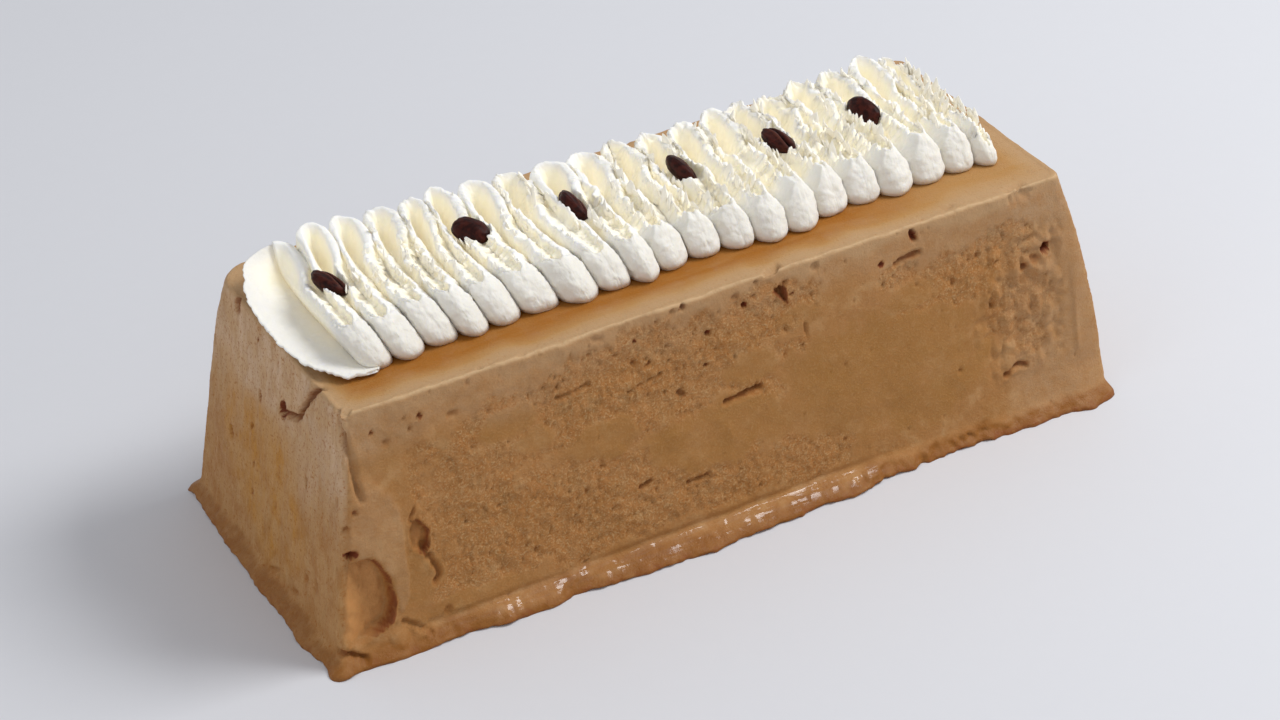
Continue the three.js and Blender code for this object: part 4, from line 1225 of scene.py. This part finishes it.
def flake_spots(rng, count):
    """Places and sizes in mm of the leaves: on the ribbon's upper edge, more where it is torn."""
    spots = []
    while len(spots) < count:
        i = rng.integers(0, TURNS)
        local = rng.choice((-1, 1))
        v = rng.uniform(0.2, 0.92)
        side = i - 1 if local < 0 else i
        torn = TURN_TORN[i] if v < 0.7 else LOOP_TORN[max(0, side)]
        if rng.random() > torn ** 1.5 * (0.7 if i < CALM_TURNS else 1):
            continue
        a = crest_share(v, i) * rng.uniform(0.85, 1.15)
        x = ribbon_x(i, side, a, v)
        y = mix(-FRONT_REACH[i], BACK_REACH[max(0, side)], v)
        if any(math.hypot(x - seat[0], y - seat[1]) < FLAKE_KEEP_OFF for seat in BEAN_SEATS):
            continue
        lean = LEAN[i] * (1 - ease(v, 0.45, 0.5))
        z = crest_height(v) - rng.uniform(0.8, 2.2)
        spots.append((x - lean, y, z, rng.uniform(1.1, 2.0 if i < CALM_TURNS else 2.7)))
    for seat in BEAN_SEATS[1:]:
        heading = math.radians(seat[3])
        for step in np.linspace(*BEAN_FLAKES) + rng.uniform(-0.4, 0.4, BEAN_FLAKES[2]):
            away = rng.uniform(4.2, 4.9)
            x = seat[0] + math.cos(heading) * step + math.sin(heading) * away
            y = seat[1] + math.sin(heading) * step - math.cos(heading) * away
            spots.append((x, y, seat[2] - rng.uniform(0.6, 1.8), rng.uniform(1.1, 1.7)))
    return spots


# The roasted beans.

def build_bean(settings, number, seat):
    """One roasted bean: domed back, flat face with a deep S-shaped crease."""
    bpy.ops.object.select_all(action="DESELECT")
    bpy.ops.mesh.primitive_uv_sphere_add(
        segments=72, ring_count=44, radius=1, rotation=(0, math.pi / 2, 0),
    )
    bpy.ops.object.transform_apply(location=False, rotation=True, scale=False)
    piece = named(f"roasted_bean_{number}")
    x, y, z = points(piece).T
    under = z < 0
    gap = np.abs(y - CREASE_SWAY[0] * np.sin(x * CREASE_SWAY[1]))
    width = CREASE_WIDTH[0] + CREASE_WIDTH[1] * np.sin(number + x * 2)
    taper = np.clip(1 - x * x, 0, 1) ** 0.5
    crease = np.exp(-(gap / width) ** 2) * taper
    lip = np.exp(-((gap - LIP_PLACE[0]) / LIP_PLACE[1]) ** 2) * taper
    half = np.array([settings.length, settings.width, settings.height]) / MM / 2
    creased = z * BEAN_FLAT * half[2] + CREASE_DEPTH * crease - CREASE_LIP * lip
    depth = np.where(under, creased, z * half[2])
    wrinkle = 0.10 * lumps(x * 4, y * 9, z * 9 + number * 7, 1.6)
    wrinkle += 0.16 * lumps(x * 3, y * 3, z * 3 + number * 5, 1.9)
    size = 1 + wrinkle * 0.35
    local = np.stack([x * half[0] * size, y * half[1] * size, depth * size], axis=1)
    centre, turn = bean_frame(seat)
    # Painted highlight on the crease's lips and on the crown of the back, and painted shade in the
    # crease.
    paint(piece, crease=under * smooth(crease * 1.6), lip=np.where(under, lip, 0.25 * smooth(z * 3 - 2)))
    place(piece, *(local @ turn.T + centre).T)
    bpy.ops.object.shade_smooth()
    return piece


# The materials.

def node(tree, kind, values=(), links=(), **settings):
    """Adds a node with its settings, its socket values and its links by socket name."""
    made = tree.nodes.new(kind)
    for key, value in settings.items():
        setattr(made, key, value)
    for key, value in dict(values).items():
        made.inputs[key].default_value = value
    for key, source in dict(links).items():
        tree.links.new(source, made.inputs[key])
    return made


def blank(name, same_all_over):
    """An empty material, its shader with the values that are the same all over, its output and
    the object coordinates in metres."""
    material = bpy.data.materials.new(name)
    material.use_nodes = True
    tree = material.node_tree
    tree.nodes.clear()
    shader = node(tree, "ShaderNodeBsdfPrincipled", same_all_over)
    node(tree, "ShaderNodeOutputMaterial", links={"Surface": shader.outputs["BSDF"]})
    place_of = node(tree, "ShaderNodeTexCoord").outputs["Object"]
    return material, tree, shader, place_of


def colour(rgb):
    """A colour as a socket takes it."""
    return (*rgb, 1.0)


def mask(tree, vector, source, low, high, to_low=0.0, to_high=1.0):
    """A mask from noise of a size in mm, or from a painted number, stretched over a range."""
    if isinstance(source, str):
        raw = node(tree, "ShaderNodeAttribute", attribute_name=source)
    else:
        values = {"Scale": 1 / (source * MM), "Detail": 3, "Roughness": 0.58}
        raw = node(tree, "ShaderNodeTexNoise", values, {"Vector": vector})
    values = {"From Min": low, "From Max": high, "To Min": to_low, "To Max": to_high}
    return node(tree, "ShaderNodeMapRange", values, {"Value": raw.outputs["Fac"]}).outputs["Result"]


def product(tree, masks):
    """All masks multiplied."""
    total = masks[0]
    for other in masks[1:]:
        total = node(tree, "ShaderNodeMath", links={0: total, 1: other}, operation="MULTIPLY").outputs[0]
    return total


def coat(tree, base, tint, *masks):
    """A colour laid over another where all masks are high."""
    values, links = {7: colour(tint)}, {"Factor": product(tree, masks)}
    if isinstance(base, bpy.types.NodeSocket):
        links[6] = base
    else:
        values[6] = colour(base)
    return node(tree, "ShaderNodeMix", values, links, data_type="RGBA").outputs[2]


def stretched(tree, vector, *factors):
    """Coordinates whose patterns are drawn out along the axes with a small factor."""
    return node(
        tree, "ShaderNodeVectorMath", {1: factors}, {0: vector}, operation="MULTIPLY",
    ).outputs[0]


def bumps(tree, shader, vector, strength, size, height, detail=4, roughness=0.5):
    """Bumps of a size and a height in mm, with a number or a mask for their strength."""
    noise = {"Scale": 1 / (size * MM), "Detail": detail, "Roughness": roughness}
    grains = node(tree, "ShaderNodeTexNoise", noise, {"Vector": vector}).outputs["Fac"]
    values, links = {"Distance": height * MM}, {"Height": grains}
    holder = links if isinstance(strength, bpy.types.NodeSocket) else values
    holder["Strength"] = strength
    tree.links.new(node(tree, "ShaderNodeBump", values, links).outputs[0], shader.inputs["Normal"])


def frozen_coffee(settings):
    """Frozen coffee cream: matt, crumbly and porous where the crust came off, smooth and
    caramel-brown where it was smeared, glossy and darker where it melts at the foot."""
    material, tree, shader, place_of = blank("frozen coffee cream", {
        "IOR": 1.4, "Specular IOR Level": 0.3, "Coat Roughness": 0.1, "Subsurface Weight": 0.05,
        "Subsurface Radius": (1.0, 0.5, 0.25), "Subsurface Scale": 1.2 * MM,
    })
    at = partial(mask, tree, place_of)
    upright = partial(mask, tree, stretched(tree, place_of, 1, 1, 0.26))
    lengthwise = partial(mask, tree, stretched(tree, place_of, 0.22, 1, 1))
    streaked = partial(mask, tree, stretched(tree, place_of, 0.08, 1, 1))
    base = settings.crust
    for tint, *masks in (
        ("shade", at(16, 0.4, 0.6)),
        ("light", at(4.5, 0.45, 0.65), at(9, 0.4, 0.65, 0, 0.45)),
        ("caramel", at("smear", 0, 1), at(12, 0.3, 0.7, 0.35, 0.9)),
        # The pale patches; on the left end they grow paler higher up, which is painted light in place of
        # the weak fill light.
        ("pale", at("pale", 0, 1), at(3.2, 0.35, 0.6, 0.55, 0.95)),
        # Rosy frost high on the left end, partly painted light in place of the weak fill light.
        ("bloom", at("bloom", 0, 1), upright(7, 0.3, 0.6, 0.35, 0.95)),
        ("ochre", at("ochre", 0, 1), upright(7, 0.35, 0.6, 0.2, 1.0)),
        # On the ends: broad patches of painted light in place of the weak fill light, drag marks 1.5 to
        # 2 mm apart and drawn out upwards, and dark specks of painted shade for pores.
        ("light", at("end", 0, 1, 0, 0.5), at(8, 0.4, 0.6)),
        ("light", at("end", 0, 1, 0, 0.4), upright(1.5, 0.52, 0.66)),
        ("shade", at("end", 0, 1, 0, 0.35), upright(2.1, 0.5, 0.66)),
        ("pore", at("end", 0, 1, 0, 0.7), at(0.9, 0.56, 0.66)),
        # Crumbs and air pores of 0.3 to 1 mm, drawn at 0.6 mm and up so that they show; the pores
        # as dark specks of painted shade.
        ("grain", at("porous", 0, 1, 0, 0.6), at(6, 0.35, 0.6)),
        ("pore", at("porous", 0, 1, 0.2, 0.6), at(0.65, 0.45, 0.36)),
        ("light", at("porous", 0, 1, 0.2, 0.8), at(0.6, 0.5, 0.66)),
        # Freshly broken insides, painted paler: partly painted light.
        ("fresh", at("fresh", 0, 1, 0, 0.75)),
        # Painted shade inside pores, dents, cracks and breaks, darkest red at the bottom of the deepest.
        ("pore", at("cut", 0, 1, 0, 0.85), at(1.4, 0.3, 0.6, 0.6, 1.0)),
        ("hole", at("cut", 0.45, 0.95, 0, 0.9)),
        # The flat top: milky, with the syrup that runs out from under the cream.
        ("milk", at("milk", 0, 1)),
        ("amber", at("syrup", 0.02, 0.4), lengthwise(4, 0.3, 0.6, 0.7, 1.0)),
        ("syrup", at("syrup", 0.3, 0.95), lengthwise(3.2, 0.3, 0.6, 0.72, 1.0)),
        ("shade", at("milk", 0.5, 0.9), at(1.1, 0.6, 0.7, 0, 0.4)),
        # Painted highlight along the front top edge, broken into dashes.
        ("edge", at("lip", 0, 1), at(2.4, 0.35, 0.5, 0.4, 1.0)),
        ("wet", at("wet", 0, 1), at(3, 0.3, 0.6, 0.6, 1.0)),
        ("ember", at("rust", 0, 1), at(1.7, 0.4, 0.6, 0.2, 0.8)),
    ):
        base = coat(tree, base, getattr(settings, tint), *masks)
    tree.links.new(base, shader.inputs["Base Color"])
    dull = product(tree, (at(2.2, 0.3, 0.7, 0.55, 0.74), at("wet", 0, 1, 1.0, 0.6)))
    tree.links.new(dull, shader.inputs["Roughness"])
    film = node(tree, "ShaderNodeMath", {}, {
        0: product(tree, (at("gloss", 0, 1), streaked(1.1, 0.46, 0.56))),
        1: product(tree, (at("syrup", 0.1, 0.8), at(6, 0.45, 0.6, 0, 0.4))),
    }, operation="MAXIMUM").outputs[0]
    tree.links.new(film, shader.inputs["Coat Weight"])
    bumps(tree, shader, place_of, at("porous", 0, 1, 0.45, 0.9), size=0.6, height=0.6, roughness=0.65)
    return material


def whipped_cream(settings, name, depth):
    """Whipped cream: satin, softly dimpled, white on its edges, painted yellow with a faint painted
    glow in its folds for the light that passes through it, and painted greyer on its noses as painted
    shade."""
    material, tree, shader, place_of = blank(name, {
        "IOR": 1.4, "Specular IOR Level": 0.22, "Emission Color": colour(linear(FOLD_GLOW)),
        "Subsurface Weight": depth, "Subsurface Radius": (1.0, 0.9, 0.62),
        "Subsurface Scale": 2.2 * MM,
    })
    at = partial(mask, tree, place_of)
    # Painted shade greys the noses; painted light turns the insides, troughs and deep folds yellow.
    base = coat(tree, settings.rim, settings.nose, at("nose", 0, 1), at(2.5, 0.3, 0.6, 0.75, 1.0))
    base = coat(tree, base, settings.face, at("butter", 0, 1), at(5, 0.3, 0.6, 0.65, 1.0))
    base = coat(tree, base, settings.fold, at("fold", 0, 1), at(4, 0.3, 0.7, 0.4, 0.8))
    tree.links.new(base, shader.inputs["Base Color"])
    tree.links.new(at(3, 0.3, 0.7, 0.52, 0.66), shader.inputs["Roughness"])
    # The light that thin folds pass on to each other, which the few bounces leave out.
    tree.links.new(at("butter", 0, 1, 0, 0.075), shader.inputs["Emission Strength"])
    bumps(tree, shader, place_of, 0.6, size=0.8, height=0.3)
    return material


def roasted_bean(settings):
    """Roasted coffee bean: dark brown, finely wrinkled, with a thin oily gloss, paler lips along its
    crease and a paler crown as painted highlight, and painted shade, nearly black, in the crease."""
    material, tree, shader, place_of = blank("roasted coffee bean", {
        "IOR": 1.45, "Specular IOR Level": 0.13,
    })
    at = partial(mask, tree, place_of)
    base = coat(tree, settings.dark, settings.roast, at(1.8, 0.4, 0.62))
    # Painted highlight on the lips and the crown, and painted shade in the crease.
    base = coat(tree, base, settings.skin, at("lip", 0.3, 1.0, 0.0, 0.8))
    base = coat(tree, base, settings.crease, at("crease", 0.3, 0.8))
    tree.links.new(base, shader.inputs["Base Color"])
    tree.links.new(at(0.9, 0.3, 0.7, 0.32, 0.55), shader.inputs["Roughness"])
    bumps(tree, shader, place_of, 0.5, size=0.55, height=0.15)
    return material


def pale_floor(settings):
    """Matt painted board: pale, even, with a faint roller texture that softens reflections."""
    material, tree, shader, place_of = blank("pale floor", {
        "Roughness": 0.7, "Specular IOR Level": 0.25,
    })
    duller = [c * 0.985 for c in settings.floor]
    base = coat(tree, settings.floor, duller, mask(tree, place_of, 6, 0, 1))
    tree.links.new(base, shader.inputs["Base Color"])
    bumps(tree, shader, place_of, 0.05, size=6, height=0.1, detail=2)
    return material


def dress(piece, material, slot, *nodes):
    """Gives a finished piece its material and its body, and hides the CAD nodes it stands for; its slot
    is not used.
    """
    piece.data.materials.clear()
    piece.data.materials.append(material)
    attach(piece, "root")
    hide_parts(*nodes)


def hue(name, description, code):
    """A colour in the panel."""
    return FloatVectorProperty(
        name=name, description=description, default=linear(code), subtype="COLOR", size=3, min=0, max=1,
    )


def length(name, description, mm):
    """A size in the panel."""
    return FloatProperty(
        name=name, description=description, default=mm * MM, min=0.0, unit="LENGTH", subtype="DISTANCE",
    )


def power(name, description, watts):
    """The power of a light in the panel."""
    return FloatProperty(name=name, description=description, default=watts, min=0, unit="POWER")


class LoafSettings(bpy.types.PropertyGroup):
    foot_length: length("Foot length", "Length of the melted foot", 250)
    foot_width: length("Foot width", "Width of the melted foot", 103.4)
    top_length: length("Top length", "Length of the flat top", 224)
    top_width: length("Top width", "Width of the flat top", 83.7)
    height: length("Height", "Height of the loaf without its cream", 73.5)
    crust: hue("Crust", "Main colour of the frozen coffee cream", "#AB7946")
    shade: hue("Shade", "Darker coffee patches", "#A6743F")
    # Also laid in patches on the ends as painted light.
    light: hue("Light", "Lighter coffee patches", "#C29968")
    grain: hue("Grain", "Crumbly patches without their skin", "#B57A41")
    # On the left end also painted light, paler higher up.
    pale: hue("Pale", "Greyish bloom near the edges", "#B28D67")
    caramel: hue("Caramel", "Smooth smears", "#9F6F36")
    syrup: hue("Syrup", "Glossy strip beside the cream", "#A16520")
    amber: hue("Amber", "Where the strip beside the cream fades out", "#B58850")
    milk: hue("Milk", "Pale top beside the strip", "#BA966D")
    # Painted highlight along the front top edge.
    edge: hue("Edge", "Thin wet line along the top edge", "#CFAE84")
    wet: hue("Wet", "Melting foot", "#8C571E")
    ember: hue("Ember", "Reddish crumbs of the foot", "#85491F")
    # Painted shade: the darker brown inside pores and breaks, the broken crumb darkened for the shade in
    # it.
    pore: hue("Pore", "Inside of pores and breaks", "#9E5F22")
    # Painted shade at the bottom of the deepest holes and cracks.
    hole: hue("Hole", "Bottom of the deepest holes and cracks", "#6E2A10")
    # Partly painted light high on the left end.
    bloom: hue("Bloom", "Pale rosy frost high on the end", "#D4B493")
    ochre: hue("Ochre", "Warmer patch in the middle of the end", "#BA8238")
    # Partly painted light: lifts the broken insides that face away from the key light.
    fresh: hue("Fresh", "Freshly broken hollows", "#C98F55")


class CreamSettings(bpy.types.PropertyGroup):
    loaf_top: length("Loaf top", "Height that the cream lies at", 73.5)
    flakes: IntProperty(name="Flakes", description="Number of torn flakes", default=520, min=0)
    rim: hue("Rim", "Thin torn edges", "#FAF8F2")
    # Painted shade: the noses are painted greyer than the edges.
    nose: hue("Nose", "Rounded noses of the turns", "#E9E5DB")
    # Painted light: the yellow of light passing through the cream, in the insides and troughs.
    face: hue("Face", "Butter-yellow insides of the ribbon", "#FFF8E3")
    # Painted light: a deeper yellow in the deep folds.
    fold: hue("Fold", "Deep folds between the turns", "#FFF0CC")


class BeanSettings(bpy.types.PropertyGroup):
    length: length("Length", "Length of a bean", 11.8)
    width: length("Width", "Width of a bean", 7.8)
    height: length("Height", "Height of a bean", 6.2)
    dark: hue("Dark", "Darkest roast", "#260E0B")
    roast: hue("Roast", "Lighter roast", "#421A12")
    # Painted highlight on the lips of the crease and on the crown of the back.
    skin: hue("Skin", "Worn lips of the crease", "#5A3024")
    # Painted shade at the bottom of the crease.
    crease: hue("Crease", "Bottom of the crease", "#140807")


class StageSettings(bpy.types.PropertyGroup):
    floor: hue("Floor", "Colour of the floor", "#DBDCE0")
    key: power("Key light", "Power of the large soft light", 11.6)
    fill: power("Fill light", "Power of the fill light", 2.0)


class SEMIFREDDO_OT_loaf(bpy.types.Operator):
    """Model the frozen coffee loaf"""

    bl_idname = "semifreddo.loaf"
    bl_label = "Frozen loaf"

    def execute(self, context):
        settings = context.scene.semifreddo_loaf
        dress(build_loaf(settings), frozen_coffee(settings), "frozen_coffee", "semifreddo_loaf")
        return {"FINISHED"}


class SEMIFREDDO_OT_cream(bpy.types.Operator):
    """Pipe the ruffle of cream, its first sheet and its torn flakes"""

    bl_idname = "semifreddo.cream"
    bl_label = "Whipped cream"

    def execute(self, context):
        settings = context.scene.semifreddo_cream
        thick = whipped_cream(settings, "whipped cream", 0.3)
        thin = whipped_cream(settings, "torn whipped cream", 0.05)
        half = TURNS // 2
        pieces = [build_ruffle(settings, "piped_cream_near", 0, half)]
        pieces.append(build_ruffle(settings, "piped_cream_far", half, TURNS - half))
        pieces.append(build_first_sheet(settings))
        for piece in pieces:
            dress(piece, thick, "whipped_cream", "cream_ruffle")
        dress(build_flakes(settings), thin, "whipped_cream", "cream_ruffle")
        return {"FINISHED"}


class SEMIFREDDO_OT_beans(bpy.types.Operator):
    """Press the six roasted beans into the cream"""

    bl_idname = "semifreddo.beans"
    bl_label = "Coffee beans"

    def execute(self, context):
        settings = context.scene.semifreddo_beans
        material = roasted_bean(settings)
        for number, seat in enumerate(BEAN_SEATS, 1):
            dress(build_bean(settings, number, seat), material, "roasted_bean", f"coffee_bean_{number}")
        return {"FINISHED"}


class SEMIFREDDO_OT_stage(bpy.types.Operator):
    """Set the floor, the lights and the camera"""

    bl_idname = "semifreddo.stage"
    bl_label = "Stage"

    def execute(self, context):
        settings = context.scene.semifreddo_stage
        bpy.ops.object.select_all(action="DESELECT")
        bpy.ops.mesh.primitive_plane_add(size=FLOOR_SIZE, location=(0, 0, 0))
        floor = named("floor")
        floor.data.materials.append(pale_floor(settings))
        soft_light("key light", *KEY_LIGHT, settings.key)
        soft_light("fill light", *FILL_LIGHT, settings.fill)
        world = bpy.data.worlds.new("soft room")
        world.use_nodes = True
        background = world.node_tree.nodes["Background"]
        background.inputs["Color"].default_value = colour(linear(ROOM_COLOUR))
        background.inputs["Strength"].default_value = ROOM_STRENGTH
        context.scene.world = world
        context.scene.view_settings.view_transform = "Standard"
        set_camera(context)
        return {"FINISHED"}


def soft_light(name, at, aim, size, power):
    """A square light that faces the part."""
    turn = (Vector(aim) - Vector(at)).to_track_quat("-Z", "Y").to_euler()
    bpy.ops.object.light_add(type="AREA", location=at, rotation=turn)
    light = bpy.context.object
    light.name = name
    light.data.shape = "SQUARE"
    light.data.size = size
    light.data.energy = power


def set_camera(context):
    """Aims the camera and tilts its horizon."""
    at, aim = Vector(CAMERA_AT) * MM, Vector(CAMERA_AIM) * MM
    back = (at - aim).normalized()
    right = Vector((0, 0, 1)).cross(back).normalized()
    up = back.cross(right)
    roll = math.radians(CAMERA_ROLL)
    side = right * math.cos(roll) + up * math.sin(roll)
    high = up * math.cos(roll) - right * math.sin(roll)
    turn = Matrix((side, high, back)).transposed()
    bpy.ops.object.camera_add(location=at, rotation=turn.to_euler())
    camera = bpy.context.object
    camera.name = "camera"
    camera.data.sensor_width = CAMERA_SENSOR
    camera.data.lens = CAMERA_LENS
    camera.data.clip_start = 0.01
    context.scene.camera = camera


class SEMIFREDDO_PT_panel(bpy.types.Panel):
    """Lists the steps and their settings"""

    bl_idname = "SEMIFREDDO_PT_panel"
    bl_label = "Coffee semifreddo"
    bl_space_type = "VIEW_3D"
    bl_region_type = "UI"
    bl_category = "Semifreddo"

    def draw(self, context):
        for step, group in STEPS:
            box = self.layout.box()
            box.operator(step.bl_idname)
            settings = getattr(context.scene, group)
            for name in settings.__annotations__:
                box.prop(settings, name)


STEPS = (
    (SEMIFREDDO_OT_loaf, "semifreddo_loaf"),
    (SEMIFREDDO_OT_cream, "semifreddo_cream"),
    (SEMIFREDDO_OT_beans, "semifreddo_beans"),
    (SEMIFREDDO_OT_stage, "semifreddo_stage"),
)
GROUPS = {
    "semifreddo_loaf": LoafSettings,
    "semifreddo_cream": CreamSettings,
    "semifreddo_beans": BeanSettings,
    "semifreddo_stage": StageSettings,
}


def register():
    """Makes the settings, the steps and the panel known."""
    for group in GROUPS.values():
        bpy.utils.register_class(group)
    for step, _ in STEPS:
        bpy.utils.register_class(step)
    bpy.utils.register_class(SEMIFREDDO_PT_panel)
    for name, group in GROUPS.items():
        setattr(bpy.types.Scene, name, PointerProperty(type=group))


def unregister():
    """Takes them away again."""
    for name in GROUPS:
        delattr(bpy.types.Scene, name)
    bpy.utils.unregister_class(SEMIFREDDO_PT_panel)
    for step, _ in STEPS:
        bpy.utils.unregister_class(step)
    for group in GROUPS.values():
        bpy.utils.unregister_class(group)


def main():
    """Models everything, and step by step."""
    register()
    bpy.ops.semifreddo.loaf()
    bpy.ops.semifreddo.cream()
    bpy.ops.semifreddo.beans()
    bpy.ops.semifreddo.stage()


if __name__ == "__main__":
    main()
